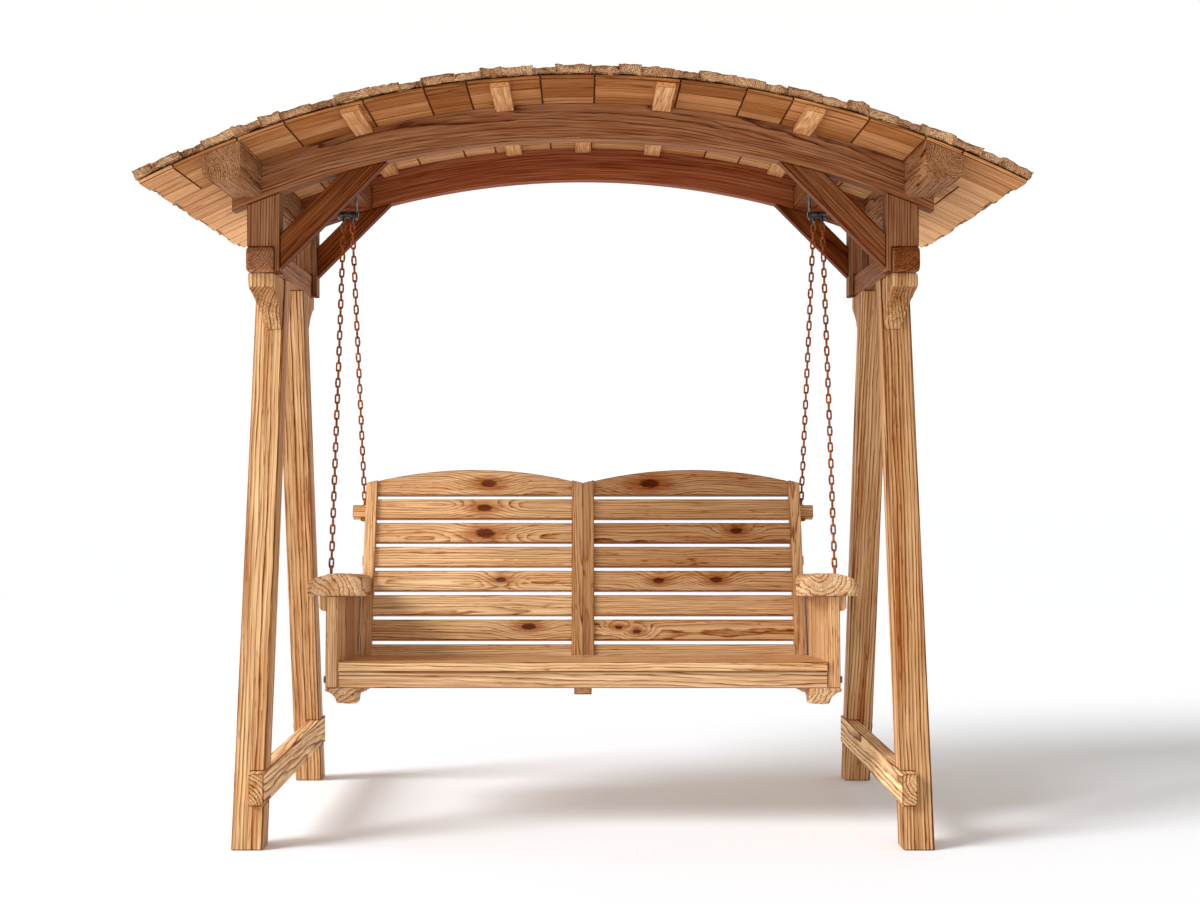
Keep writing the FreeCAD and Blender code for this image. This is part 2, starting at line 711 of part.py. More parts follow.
# The seat hangs with the middle of its volume, nearly all of it timber, under the pins
tilt = math.radians(seat_tilt)
volume = 0.0
moment = 0.0
for piece in seat.values():
    for solid in piece.Solids:
        centre = solid.CenterOfMass
        volume += solid.Volume
        moment += solid.Volume * (centre.y * math.cos(tilt) + centre.z * math.sin(tilt))
seat_front_y = -moment / volume
tilt_turn = FreeCAD.Rotation(Vec(1, 0, 0), -seat_tilt)
seat_turn = FreeCAD.Placement(Vec(0, seat_front_y, seat_height), tilt_turn)


def hung(shape):
    """A piece of the seat moved from the seat's own frame to where it hangs."""
    moved = shape.copy()
    moved.Placement = seat_turn.multiply(moved.Placement)
    return moved


# Chains, each in the plane of its eyes, with every second link turned on edge
link_radius = (link_inner_width + link_wire) / 2
rear_eye_local = back_turn.multVec(Vec(rear_chain_x, rail_middle, upper_top + eye_lift))
arm_eye_local = Vec(front_chain_x, arm_eye_y, spot_height + eye_lift)


def link(pitch):
    """One link standing upright, with its faces to the front and rear."""
    straight = pitch + link_play + link_wire - 2 * link_radius
    bend = Part.makeTorus(link_radius, link_wire / 2, Vec(0, 0, 0), Vec(0, 0, 1), 0, 360, 180)
    bend.rotate(Vec(0, 0, 0), Vec(1, 0, 0), 90)
    bend.translate(Vec(0, 0, straight / 2))
    sides = [
        rod(link_wire / 2, Vec(x, 0, -straight / 2), Vec(0, 0, straight))
        for x in (-link_radius, link_radius)
    ]
    return bend.fuse([bend.mirror(Vec(0, 0, 0), Vec(0, 0, 1))] + sides).removeSplitter()


def chain(low_eye):
    """The links from the swivel eye down to an eye of the seat, and the centre of the upper eye."""
    pivot = Vec(low_eye.x, 0, pivot_z)
    along = low_eye.sub(pivot)
    along.normalize()
    high_eye = pivot + along * eye_drop
    first = high_eye + along * eye_radius
    span = (low_eye - along * eye_radius).sub(first).Length
    reach = span + eye_wire
    count = 2 * round((reach / link_pitch - 1) / 2) + 1
    pitch = reach / count
    slope = FreeCAD.Rotation(Vec(1, 0, 0), math.degrees(math.atan2(along.y, -along.z)))
    one = link(pitch)
    links = []
    for k in range(count):
        turned = slope.multiply(FreeCAD.Rotation(Vec(0, 0, 1), 90 * (k % 2)))
        copy = one.copy()
        copy.Placement = FreeCAD.Placement(first + along * ((k + 0.5) * pitch - eye_wire / 2), turned)
        links.append(copy)
    return Part.makeCompound(links), high_eye


front_chain, front_high_eye = chain(seat_turn.multVec(arm_eye_local))
rear_chain, rear_high_eye = chain(seat_turn.multVec(rear_eye_local))

# Swivel eyes: a bush on the pin with an eye for each chain
bush_start = Vec(hang_x - bush_length / 2, 0, pivot_z)
swivel = rod(bush_radius, bush_start, Vec(bush_length, 0, 0))
swivel = swivel.fuse([eye(front_high_eye), eye(rear_high_eye)]).removeSplitter()
swivel = swivel.cut(rod(bush_bore, bush_start, Vec(bush_length, 0, 0)))

# Every node by name
nodes = {
    "arch_beam_front": beam,
    "arch_beam_rear": other_end(beam),
    "roof_battens": Part.makeCompound(battens),
    "roof_boards": Part.makeCompound(deck_boards),
    "roof_planks": Part.makeCompound(planks),
}
for name, piece in (
    ("stretcher", stretcher),
    ("cap_beam", cap),
    ("eave_purlin", eave),
    ("hanger_rail", hanger_rail),
    ("hanger_bracket", bracket),
    ("swivel_eyes", swivel),
    ("chain_front", front_chain),
    ("chain_rear", rear_chain),
):
    nodes[name + "_right"] = piece
    nodes[name + "_left"] = other_side(piece)
for name, piece in (
    ("leg_front", leg),
    ("leg_rear", other_end(leg)),
    ("knee_brace_front", front_brace),
    ("knee_brace_rear", rear_brace),
):
    nodes[name + "_right"] = piece
    nodes[name + "_left"] = other_side(piece)
for name, pieces in (
    ("corbels", [corbel]),
    ("head_posts", [head_post]),
    ("stand_screws", stand_screws),
):
    right = pieces + [other_end(p) for p in pieces]
    nodes[name] = Part.makeCompound(right + [other_side(p) for p in right])
nodes["hanger_pins"] = Part.makeCompound([pin, other_side(pin)])
nodes["hanger_screws"] = Part.makeCompound(hanger_screws + [other_side(s) for s in hanger_screws])
for name, piece in seat.items():
    nodes[name] = hung(piece)

os.makedirs("parts", exist_ok=True)
for name, shape in nodes.items():
    shape.exportStep("parts/%s.step" % name)
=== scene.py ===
"""Looks of a garden swing seat: a pine stand with an arched plank roof, and a bench hung on chains."""

import functools
import json
import logging
import math
import random
import zlib
from collections.abc import Callable, Iterator, Sequence
from contextlib import contextmanager
from dataclasses import dataclass
from enum import Enum
from typing import Any

import bmesh
import bpy
import numpy as np
from mathutils import Matrix, Vector

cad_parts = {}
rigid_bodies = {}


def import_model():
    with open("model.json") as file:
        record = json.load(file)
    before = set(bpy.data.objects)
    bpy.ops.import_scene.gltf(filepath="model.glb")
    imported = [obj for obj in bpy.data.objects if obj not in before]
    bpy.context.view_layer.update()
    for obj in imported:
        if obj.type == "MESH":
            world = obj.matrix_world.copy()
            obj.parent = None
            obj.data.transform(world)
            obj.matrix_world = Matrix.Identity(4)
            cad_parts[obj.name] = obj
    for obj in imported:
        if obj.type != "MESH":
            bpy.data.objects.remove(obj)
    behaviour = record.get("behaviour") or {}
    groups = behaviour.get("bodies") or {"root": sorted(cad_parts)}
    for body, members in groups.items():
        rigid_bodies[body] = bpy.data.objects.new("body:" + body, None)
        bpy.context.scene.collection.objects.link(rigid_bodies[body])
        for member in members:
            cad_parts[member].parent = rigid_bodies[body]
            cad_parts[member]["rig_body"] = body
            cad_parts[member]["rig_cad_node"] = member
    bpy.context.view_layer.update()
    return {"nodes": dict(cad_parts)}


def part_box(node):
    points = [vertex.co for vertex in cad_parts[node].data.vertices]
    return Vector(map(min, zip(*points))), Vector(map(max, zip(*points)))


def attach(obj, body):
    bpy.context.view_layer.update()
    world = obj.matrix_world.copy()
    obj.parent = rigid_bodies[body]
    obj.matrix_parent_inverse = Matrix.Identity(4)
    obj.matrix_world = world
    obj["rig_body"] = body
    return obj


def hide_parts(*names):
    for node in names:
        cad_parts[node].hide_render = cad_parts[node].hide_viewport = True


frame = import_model()
MM = 0.001
SIDES = ("left", "right")
ENDS = ("front", "rear")

# Short names for types
EdgeTest = Callable[[bmesh.types.BMEdge], bool]
Material = bpy.types.Material
Mesh = bpy.types.Mesh
Node = bpy.types.Node
Piece = bpy.types.Object
Socket = bpy.types.NodeSocket
Tree = bpy.types.NodeTree
Span = tuple[float, float]
Triple = tuple[float, float, float]

# Meshing: what counts as one place, as flat, as sharp and as straight, and how edges are rounded
WELD = 0.01 * MM
FLAT_ANGLE = math.radians(0.3)
SHARP_ANGLE = math.radians(30.0)
STRAIGHT_SHARE = 0.99
EASE_STEPS = 3
FACE_WEIGHT = 80

# Mesh attributes that the pine reads
GRAIN = "grain"
TONE = "tone"
END_GRAIN = "end_grain"
EASED = "eased"
KNOTS = ("knot_one", "knot_two")

# How boards are cut from a log, in metres and board widths
PITH_SPREAD = 1.1
PITH_DEPTH = (0.022, 0.07)
LEAST_WIDTH = 0.06
SLOPES = (0.02, 0.03)
LOG_LENGTH = 40.0
# How fast painted light grows towards a piece's two ends
PAINTED_LIGHT_POWER = 3
KNOT_STRETCH = 2.1

# How faces are told apart: how far they turn to the grain, and how narrow an eased edge is
PROBE = 0.001
END_TURN = 0.5
END_FADE = 0.3
SQUARE_TURN = 0.98
EASED_WIDTH = 2.6 * MM
STRIP_SHARE = 5.0

logging.basicConfig(level=logging.INFO, format="%(message)s")
log = logging.getLogger("swing_seat")


class Body(Enum):
    """The two bodies that pieces ride on."""

    STAND = "stand"
    SWING = "swing"


class Slot(Enum):
    """The record's material slots, which the sub-assemblies hold but never give to their pieces."""

    STAND_TIMBER = "stand_timber"
    BEAM_TIMBER = "beam_timber"
    ROOF_TIMBER = "roof_timber"
    SEAT_TIMBER = "seat_timber"
    CHAIN_STEEL = "chain_steel"
    HANGER_STEEL = "hanger_steel"


class Axis(Enum):
    """The axis of a piece's own frame that its grain follows, and the order that puts it first."""

    X = (0, 1, 2)
    Y = (1, 0, 2)
    Z = (2, 0, 1)


# Nodes

UNIT = (0.0, 1.0)
FADE_OUT = (1.0, 0.0)
SMOOTH = "SMOOTHSTEP"
SHADER = "Principled BSDF"


def linear(code: str) -> tuple[float, float, float, float]:
    """Turns an sRGB colour into the linear values that a shader takes.

    Args:
        code: The colour as #RRGGBB.

    Returns:
        Red, green, blue and a full alpha.
    """
    parts = [int(code[k : k + 2], 16) / 255.0 for k in (1, 3, 5)]
    parts = [p / 12.92 if p <= 0.04045 else ((p + 0.055) / 1.055) ** 2.4 for p in parts]
    return (*parts, 1.0)


def fill(tree: Tree, node: Node, inputs: dict) -> None:
    """Fills or links a node's inputs.

    Args:
        tree: The node's tree.
        node: The node.
        inputs: Input name or number to a value, or to the socket that it is linked from.
    """
    for key, value in inputs.items():
        if isinstance(value, Socket):
            tree.links.new(value, node.inputs[key])
        else:
            node.inputs[key].default_value = value


def add_node(tree: Tree, kind: str, inputs: dict, **settings: Any) -> Node:
    """Adds one shader node with its settings and inputs.

    Args:
        tree: The node tree that gets the node.
        kind: Blender's name for the kind of node.
        inputs: What fill takes.
        **settings: The node's own properties.

    Returns:
        The new node.
    """
    node = tree.nodes.new(kind)
    for name, value in settings.items():
        setattr(node, name, value)
    fill(tree, node, inputs)
    return node


def attribute(tree: Tree, name: str, output: str = "Fac") -> Socket:
    """Reads an attribute of the mesh."""
    return add_node(tree, "ShaderNodeAttribute", {}, attribute_name=name).outputs[output]


def calc(tree: Tree, operation: str, *values: Any, clamp: bool = False) -> Socket:
    """Calculates with up to three values."""
    inputs = dict(enumerate(values))
    return add_node(tree, "ShaderNodeMath", inputs, operation=operation, use_clamp=clamp).outputs[0]


def product(tree: Tree, *factors: Socket) -> Socket:
    """Multiplies values, one after the other."""
    return functools.reduce(lambda first, other: calc(tree, "MULTIPLY", first, other), factors)


def remap(tree: Tree, value: Socket, old: Span, new: Span, kind: str = "LINEAR") -> Socket:
    """Maps one span of values to another, and stops at its ends."""
    inputs = {0: value, 1: old[0], 2: old[1], 3: new[0], 4: new[1]}
    return add_node(tree, "ShaderNodeMapRange", inputs, interpolation_type=kind).outputs[0]


def mix(tree: Tree, share: Socket, first: Any, second: Any) -> Socket:
    """Mixes two colours."""
    return add_node(tree, "ShaderNodeMix", {0: share, 6: first, 7: second}, data_type="RGBA").outputs[2]


def noise(tree: Tree, place: Socket, scale: float, layers: float) -> Socket:
    """Draws a noise from 0 to 1."""
    inputs = {"Vector": place, "Scale": scale, "Detail": layers}
    return add_node(tree, "ShaderNodeTexNoise", inputs).outputs[0]


def squeeze(tree: Tree, place: Socket, factors: Triple) -> Socket:
    """Multiplies each part of a place by its own factor."""
    return add_node(tree, "ShaderNodeVectorMath", {0: place, 1: factors}, operation="MULTIPLY").outputs[0]


def length(tree: Tree, way: Socket) -> Socket:
    """Measures a way's length."""
    return add_node(tree, "ShaderNodeVectorMath", {0: way}, operation="LENGTH").outputs["Value"]


def bump(tree: Tree, height: Socket, strength: float, depth_mm: float) -> Socket:
    """Turns a height into a fine relief."""
    inputs = {"Height": height, "Strength": strength, "Distance": depth_mm * MM}
    return add_node(tree, "ShaderNodeBump", inputs).outputs[0]


def new_material(name: str) -> Material:
    """Makes a material with Blender's usual shader.

    Args:
        name: The material's name.

    Returns:
        The material.
    """
    material = bpy.data.materials.new(name)
    material.use_nodes = True
    return material


# Finishes


@dataclass(frozen=True)
class Figure:
    """A noise in wood: its patches' length along the grain and width across it, and its finer layers."""

    along_mm: float
    across_mm: float
    layers: float

    def draw(self, tree: Tree, grain: Socket) -> Socket:
        """Draws the noise at a place in the log."""
        scale = tuple(1.0 / (size * MM) for size in (self.along_mm, self.across_mm, self.across_mm))
        return noise(tree, squeeze(tree, grain, scale), 1.0, self.layers)


@dataclass(frozen=True)
class KnotBand:
    """One mark of a knot: its shape, how ragged it is, where it fades in knot radii, and its strength."""

    shape: Triple
    ragged: float
    edge: Span
    strength: float

    def draw(self, tree: Tree, knot: Socket, ragged: Socket) -> Socket:
        """Draws the mark.

        Args:
            tree: The material's nodes.
            knot: The way from the knot, with 1 as its third part where there is one.
            ragged: A noise that roughens the mark.

        Returns:
            How strong the mark is.
        """
        away = length(tree, squeeze(tree, knot, self.shape))
        rough = calc(tree, "MULTIPLY_ADD", ragged, self.ragged, away)
        fade = remap(tree, rough, self.edge, (self.strength, 0.0), SMOOTH)
        there = add_node(tree, "ShaderNodeSeparateXYZ", {0: knot}).outputs["Z"]
        return product(tree, fade, there)


# Noises in pine
STREAK = Figure(220.0, 4.0, 4.0)
FIBRE = Figure(40.0, 0.9, 2.0)
WANDER = Figure(380.0, 60.0, 4.0)
BREAKS = Figure(90.0, 6.0, 2.0)
DRIFT = Figure(600.0, 26.0, 3.0)
CHECK = Figure(160.0, 9.0, 2.0)
SPECK = Figure(48.0, 5.0, 1.0)
RAGGED = Figure(14.0, 7.0, 2.0)
# Marks of a knot: how far it pushes the rings out, its dark core and the halo round it
KNOT_BANDS = (
    KnotBand((0.45, 0.5, 0.0), 0.0, (0.1, 2.0), 20.0 * MM),
    KnotBand((1.0, 1.0, 0.0), 0.5, (0.8, 1.15), 0.9),
    KnotBand((0.6, 0.75, 0.0), 0.5, (0.8, 1.8), 0.7),
)
# Year rings: across the log, how late wood comes and ends, and how rings differ and break off
ACROSS = (0.0, 1.0, 1.0)
LATE_POWER = 3.2
LATE_END = (0.86, 1.0)
YEAR_WEIGHTS = (0.45, 1.35)
BREAK_SPAN = (0.3, 0.7)
BREAK_WEIGHTS = (0.55, 1.45)
# Where in their noises red heartwood, streaks, cracks, flecks and resin begin and end
HEART_SPAN = (0.46, 0.74)
STREAK_SPAN = (0.28, 0.72)
CHECK_MIDDLE = 0.5
CRACK_SPAN = (0.004, 0.02)
FLECK_SPAN = (0.62, 0.69)
RESIN_SPAN = (0.44, 0.56)
# Dark wood is richer and redder than pale wood
VALUE_SPAN = (0.5, 1.2)
RICHNESS = (1.18, 0.92)
HUES = (0.487, 0.51)


@dataclass(frozen=True)
class PineFinish:
    """Sawn and oiled pine, drawn as solid wood cut from a log.

    The year rings run through each board: a face shows long flames, an edge straight lines, an end arcs.
    Early wood is pale, late wood a brown line with a sharp outer side, and knots are dark with red halos.
    """

    name: str
    early: str
    late: str
    heart: str
    knot: str = "#5A2814"
    halo: str = "#A35C2C"
    ring_mm: float = 5.5
    wander_mm: float = 22.0
    line_strength: float = 1.25
    heart_strength: float = 0.6
    streak_range: Span = (0.62, 1.22)
    crack_share: float = 0.0
    fleck_share: float = 0.0
    end_shade: float = 0.72
    edge_shade: float = 0.55
    roughness: float = 0.58
    smoother: float = 0.08
    rougher: float = 0.12
    specular: float = 0.04
    line_height: float = 0.6
    relief: float = 0.3
    relief_mm: float = 0.7

    def material(self) -> Material:
        """Makes the material.

        Returns:
            The pine material, which reads the grain attributes of a piece.
        """
        material = new_material(self.name)
        tree = material.node_tree
        grain = attribute(tree, GRAIN, "Vector")
        swell, core, halo = self._knots(tree, grain)
        line = self._rings(tree, grain, swell)
        streak = STREAK.draw(tree, grain)
        height = calc(tree, "MULTIPLY_ADD", line, self.line_height, FIBRE.draw(tree, grain))
        rough = (self.roughness - self.smoother, self.roughness + self.rougher)
        inputs = {
            "Base Color": self._colour(tree, grain, line, streak, core, halo),
            "Roughness": remap(tree, streak, UNIT, rough),
            "Normal": bump(tree, height, self.relief, self.relief_mm),
            "Specular IOR Level": self.specular,
        }
        fill(tree, tree.nodes[SHADER], inputs)
        return material

    def _knots(self, tree: Tree, grain: Socket) -> list[Socket]:
        """Adds the knots of a board, whose attributes hold the way from each knot in knot radii.

        Args:
            tree: The material's nodes.
            grain: The place in the log.

        Returns:
            How far the rings give way, the dark core and the halo round it.
        """
        ragged = RAGGED.draw(tree, grain)
        ways = [attribute(tree, name, "Vector") for name in KNOTS]
        knots = [[band.draw(tree, way, ragged) for band in KNOT_BANDS] for way in ways]
        return [calc(tree, "MAXIMUM", *marks) for marks in zip(*knots)]

    def _rings(self, tree: Tree, grain: Socket, swell: Socket) -> Socket:
        """Adds the year rings round the log's pith.

        Args:
            tree: The material's nodes.
            grain: The place in the log, from its pith.
            swell: How far knots push the rings out, in metres.

        Returns:
            How much late wood there is, from 0 to 1.
        """
        radius = length(tree, squeeze(tree, grain, ACROSS))
        bent = calc(tree, "MULTIPLY_ADD", WANDER.draw(tree, grain), self.wander_mm * MM, radius)
        rings = calc(tree, "DIVIDE", calc(tree, "ADD", bent, swell), self.ring_mm * MM)
        year = calc(tree, "FLOOR", rings)
        part = calc(tree, "FRACT", rings)
        rise = calc(tree, "POWER", part, LATE_POWER)
        fall = remap(tree, part, LATE_END, FADE_OUT, SMOOTH)
        luck = add_node(tree, "ShaderNodeTexWhiteNoise", {"W": year}, noise_dimensions="1D")
        weight = remap(tree, luck.outputs["Value"], UNIT, YEAR_WEIGHTS)
        broken = remap(tree, BREAKS.draw(tree, grain), BREAK_SPAN, BREAK_WEIGHTS)
        return product(tree, rise, fall, weight, broken)

    def _colour(
        self, tree: Tree, grain: Socket, line: Socket, streak: Socket, core: Socket, halo: Socket
    ) -> Socket:
        """Adds up the wood's colours.

        Args:
            tree: The material's nodes.
            grain: The place in the log.
            line: How much late wood there is.
            streak: A noise of long streaks.
            core: Where a knot is.
            halo: Where the wood round a knot is.

        Returns:
            The surface's colour.
        """
        drift = DRIFT.draw(tree, grain)
        red = remap(tree, drift, HEART_SPAN, (0.0, self.heart_strength))
        dark = calc(tree, "MULTIPLY", line, self.line_strength, clamp=True)
        grey = remap(tree, streak, STREAK_SPAN, self.streak_range)
        shade = remap(tree, attribute(tree, END_GRAIN), UNIT, (1.0, self.end_shade))
        # Eased edges and grooves are painted darker: painted shade in the joints between boards
        painted_edge_shade = remap(tree, attribute(tree, EASED), UNIT, (1.0, self.edge_shade))
        value = product(tree, grey, attribute(tree, TONE), shade, painted_edge_shade)
        width = calc(tree, "SUBTRACT", CHECK.draw(tree, grain), CHECK_MIDDLE)
        crack = remap(tree, calc(tree, "ABSOLUTE", width), CRACK_SPAN, (self.crack_share, 0.0))
        fleck = remap(tree, SPECK.draw(tree, grain), FLECK_SPAN, (0.0, self.fleck_share))
        resin = remap(tree, drift, RESIN_SPAN, UNIT)
        layers = (
            (red, self.heart),
            (dark, self.late),
            (product(tree, fleck, resin), self.late),
            (halo, self.halo),
            (core, self.knot),
            (crack, self.knot),
        )
        colour: Any = linear(self.early)
        for share, layer in layers:
            colour = mix(tree, share, colour, linear(layer))
        inputs = {
            "Color": colour,
            "Hue": remap(tree, value, VALUE_SPAN, HUES),
            "Saturation": remap(tree, value, VALUE_SPAN, RICHNESS),
            "Value": value,
        }
        return add_node(tree, "ShaderNodeHueSaturation", inputs).outputs[0]


@dataclass(frozen=True)
class SteelFinish:
    """Steel with a worn skin: forged and blackened, rusted, or plain, as its colours and gloss say.

    Patches of a second colour break the first one up, and a fine grit catches the light.
    """

    name: str
    skin: str
    patch: str
    patch_mm: float
    metallic: float
    roughness: float
    patch_share: float = 0.5
    patch_blur: float = 0.12
    patch_layers: float = 4.0
    grit_mm: float = 1.2
    grit_layers: float = 2.0
    grit_gloss: float = 0.1
    specular: float = 0.5
    relief: float = 0.25
    relief_mm: float = 0.3

    def material(self) -> Material:
        """Makes the material.

        Returns:
            The steel material, on Object coordinates.
        """
        material = new_material(self.name)
        tree = material.node_tree
        place = add_node(tree, "ShaderNodeTexCoord", {}).outputs["Object"]
        blotch = noise(tree, place, 1.0 / (self.patch_mm * MM), self.patch_layers)
        grit = noise(tree, place, 1.0 / (self.grit_mm * MM), self.grit_layers)
        edge = (self.patch_share - self.patch_blur, self.patch_share + self.patch_blur)
        rough = (self.roughness - self.grit_gloss, self.roughness + self.grit_gloss)
        share = remap(tree, blotch, edge, UNIT)
        inputs = {
            "Base Color": mix(tree, share, linear(self.skin), linear(self.patch)),
            "Metallic": self.metallic,
            "Roughness": remap(tree, grit, UNIT, rough),
            "Normal": bump(tree, grit, self.relief, self.relief_mm),
            "Specular IOR Level": self.specular,
        }
        fill(tree, tree.nodes[SHADER], inputs)
        return material


class Finish(Enum):
    """The finishes of the object's pieces."""

    # Legs, stretchers and corbels: planed pine, honey coloured with straight brown lines
    LEGS = PineFinish(
        "planed_pine",
        "#E4BA8A",
        "#7A421C",
        "#AE683A",
        ring_mm=9.5,
        wander_mm=20.0,
        line_strength=1.7,
        heart_strength=0.75,
        streak_range=(0.62, 1.24),
        fleck_share=0.6,
    )
    # Head posts, cap beams, braces and hanger rails: the same pine in a darker brown, partly a darker stain
    # and partly painted shade from the roof over them
    BROWN = PineFinish("browned_pine", "#905C3C", "#4A2410", "#7A4022", ring_mm=7.5, wander_mm=14.0)
    # Arched beams: heartwood, red-brown, and redder at the rear
    FRONT_BEAM = PineFinish("heart_pine", "#AA7450", "#58301B", "#85482A", line_strength=1.5)
    REAR_BEAM = PineFinish("dark_heart_pine", "#AC6A48", "#643020", "#8A422A")
    # Roof planks and purlins: split pine, rough, brown and dull, with open cracks
    PLANKS = PineFinish(
        "split_pine", "#C89E78", "#5C341B", "#9C6840", crack_share=0.9, roughness=0.75, end_shade=0.9
    )
    # Roof deck: sawn pine, with strong painted shade on its eased edges
    DECK = PineFinish("deck_pine", "#E0A876", "#8A5028", "#BA7848", roughness=0.7, edge_shade=0.4)
    # Roof battens: fresh sawn pine, paler than the deck
    BATTENS = PineFinish("sawn_pine", "#E2AC7A", "#AC6A3E", "#CB8C58", line_strength=0.8)
    # Bench: planed and oiled pine, pale, with dark flecks of resin
    SEAT = PineFinish(
        "oiled_pine",
        "#E6BD8E",
        "#8E4C22",
        "#CA8850",
        roughness=0.5,
        line_strength=1.2,
        streak_range=(0.7, 1.2),
        fleck_share=0.75,
    )
    # Armrests, runners and apron: whole slabs, the palest wood, with wide soft rings that swirl
    SLABS = PineFinish(
        "slab_pine",
        "#E8C298",
        "#84481F",
        "#C07C44",
        ring_mm=13.0,
        wander_mm=45.0,
        line_strength=1.2,
        end_shade=0.96,
    )
    # Chains: welded steel links, rusted all over to an even brown
    CHAINS = SteelFinish("rusted_steel", "#B4642E", "#70381A", 9.0, 0.0, 0.75, specular=0.08)
    # Hangers: forged steel, blackened, with bare grey where it rubs
    HANGERS = SteelFinish("forged_steel", "#3C3A38", "#8C8A85", 16.0, 0.85, 0.45, patch_share=0.58)
    # Screws: plain steel, dulled by the weather
    SCREWS = SteelFinish("weathered_steel", "#7A756D", "#54493F", 7.0, 0.8, 0.5)


# Frames that pieces are measured and modelled in


@dataclass(frozen=True)
class TurnedFrame:
    """A frame turned about X and then about Y, for straight timbers that lean."""

    about_x: float = 0.0
    about_y: float = 0.0

    def _turn(self) -> np.ndarray:
        """Gives the turn as a 3 by 3 matrix."""
        turns = [math.radians(angle) for angle in (self.about_y, self.about_x)]
        return np.array(Matrix.Rotation(turns[0], 3, "Y") @ Matrix.Rotation(turns[1], 3, "X"))

    def local(self, points: np.ndarray) -> np.ndarray:
        """Turns points of the row frame into this frame."""
        return points @ self._turn()

    def world(self, points: np.ndarray) -> np.ndarray:
        """Turns points of this frame into the row frame."""
        return points @ self._turn().T


@dataclass(frozen=True)
class ArchFrame:
    """A frame laid flat from the roof's arch: X runs along it, Y to the rear and Z outwards."""

    radius: float = 2.591

    def _centre(self) -> float:
        """Gives the height of the arch's centre, from the top of the front beam."""
        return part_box("arch_beam_front")[1].z - self.radius

    def local(self, points: np.ndarray) -> np.ndarray:
        """Lays points of the row frame flat.

        Args:
            points: One row of three coordinates per point.

        Returns:
            The points in this frame.
        """
        rise = points[:, 2] - self._centre()
        angle = np.arctan2(points[:, 0], rise)
        out = np.hypot(points[:, 0], rise) - self.radius
        return np.column_stack((angle * self.radius, points[:, 1], out))

    def world(self, points: np.ndarray) -> np.ndarray:
        """Wraps flat points onto the arch."""
        angle, out = points[:, 0] / self.radius, points[:, 2] + self.radius
        return np.column_stack((out * np.sin(angle), points[:, 1], out * np.cos(angle) + self._centre()))


Frame = TurnedFrame | ArchFrame
LEVEL = TurnedFrame()
ARCH = ArchFrame()


# Meshes


def points_of(mesh: Mesh) -> np.ndarray:
    """Reads a mesh's vertices.

    Args:
        mesh: The mesh.

    Returns:
        One row of three coordinates per vertex.
    """
    flat = np.empty(3 * len(mesh.vertices), np.float32)
    mesh.vertices.foreach_get("co", flat)
    return flat.reshape(-1, 3).astype(float)


def move_points(mesh: Mesh, points: np.ndarray) -> None:
    """Writes a mesh's vertices, one row of three coordinates each."""
    mesh.vertices.foreach_set("co", points.astype(np.float32).ravel())
    mesh.update()


def loose_parts(mesh: Mesh) -> list[np.ndarray]:
    """Finds the parts of a mesh that aren't joined, after welding corners at the same place.

    Args:
        mesh: The mesh.

    Returns:
        The vertex numbers of each part, in the order of their first vertex.
    """
    places = np.round(points_of(mesh) / WELD).astype(np.int64)
    weld = np.unique(places, axis=0, return_inverse=True)[1].ravel()
    pairs = np.empty(2 * len(mesh.edges), np.int32)
    mesh.edges.foreach_get("vertices", pairs)
    ends = weld[pairs.reshape(-1, 2)]
    label = np.arange(weld.max() + 1)
    changed = True
    while changed:
        lowest = np.minimum(label[ends[:, 0]], label[ends[:, 1]])
        fresh = label.copy()
        np.minimum.at(fresh, ends[:, 0], lowest)
        np.minimum.at(fresh, ends[:, 1], lowest)
        fresh = fresh[fresh]
        changed = bool((fresh != label).any())
        label = fresh
    found = label[weld]
    order = dict.fromkeys(found.tolist())
    return [np.flatnonzero(found == k) for k in order]


def solids_of(node: str) -> list[np.ndarray]:
    """Reads the corner points of each solid in a CAD node.

    Args:
        node: The node's name.

    Returns:
        One array of points per solid.
    """
    mesh = frame["nodes"][node].data
    points = points_of(mesh)
    return [points[part] for part in loose_parts(mesh)]


def activate(piece: Piece) -> None:
    """Selects one object alone and makes it the active one.

    Args:
        piece: The object.
    """
    bpy.ops.object.select_all(action="DESELECT")
    piece.select_set(True)
    bpy.context.view_layer.objects.active = piece


@contextmanager
def editing(piece: Piece) -> Iterator[None]:
    """Opens a piece in edit mode, and closes it again.

    Args:
        piece: The object.

    Yields:
        Nothing, while the piece is open.
    """
    activate(piece)
    bpy.ops.object.mode_set(mode="EDIT")
    yield
    bpy.ops.object.mode_set(mode="OBJECT")


def select_where(piece: Piece, kind: str, wanted: Callable[[Any], bool]) -> None:
    """Selects the corners or edges that pass a test, in edit mode.

    Args:
        piece: The object in edit mode.
        kind: VERT or EDGE.
        wanted: The test.
    """
    bpy.ops.mesh.select_mode(type=kind)
    bpy.ops.mesh.select_all(action="DESELECT")
    shape = bmesh.from_edit_mesh(piece.data)
    for item in shape.verts if kind == "VERT" else shape.edges:
        item.select = wanted(item)
    shape.select_flush_mode()
    bmesh.update_edit_mesh(piece.data)


def sharp_edge(shortest: float) -> EdgeTest:
    """Makes a test for a timber's arrises, which leaves out edges under a length, as of screw holes."""
    return lambda edge: edge.calc_face_angle(0.0) > SHARP_ANGLE and edge.calc_length() > shortest


def along(axis: int) -> EdgeTest:
    """Makes a test for edges that run along an axis, 0, 1 or 2."""
    straight = STRAIGHT_SHARE
    return lambda edge: abs((edge.verts[1].co - edge.verts[0].co)[axis]) > straight * edge.calc_length()


def bevel(width_mm: float, steps: int = EASE_STEPS) -> None:
    """Takes the selected edges off."""
    bpy.ops.mesh.bevel(offset=width_mm * MM, segments=steps, affect="EDGES", clamp_overlap=True)


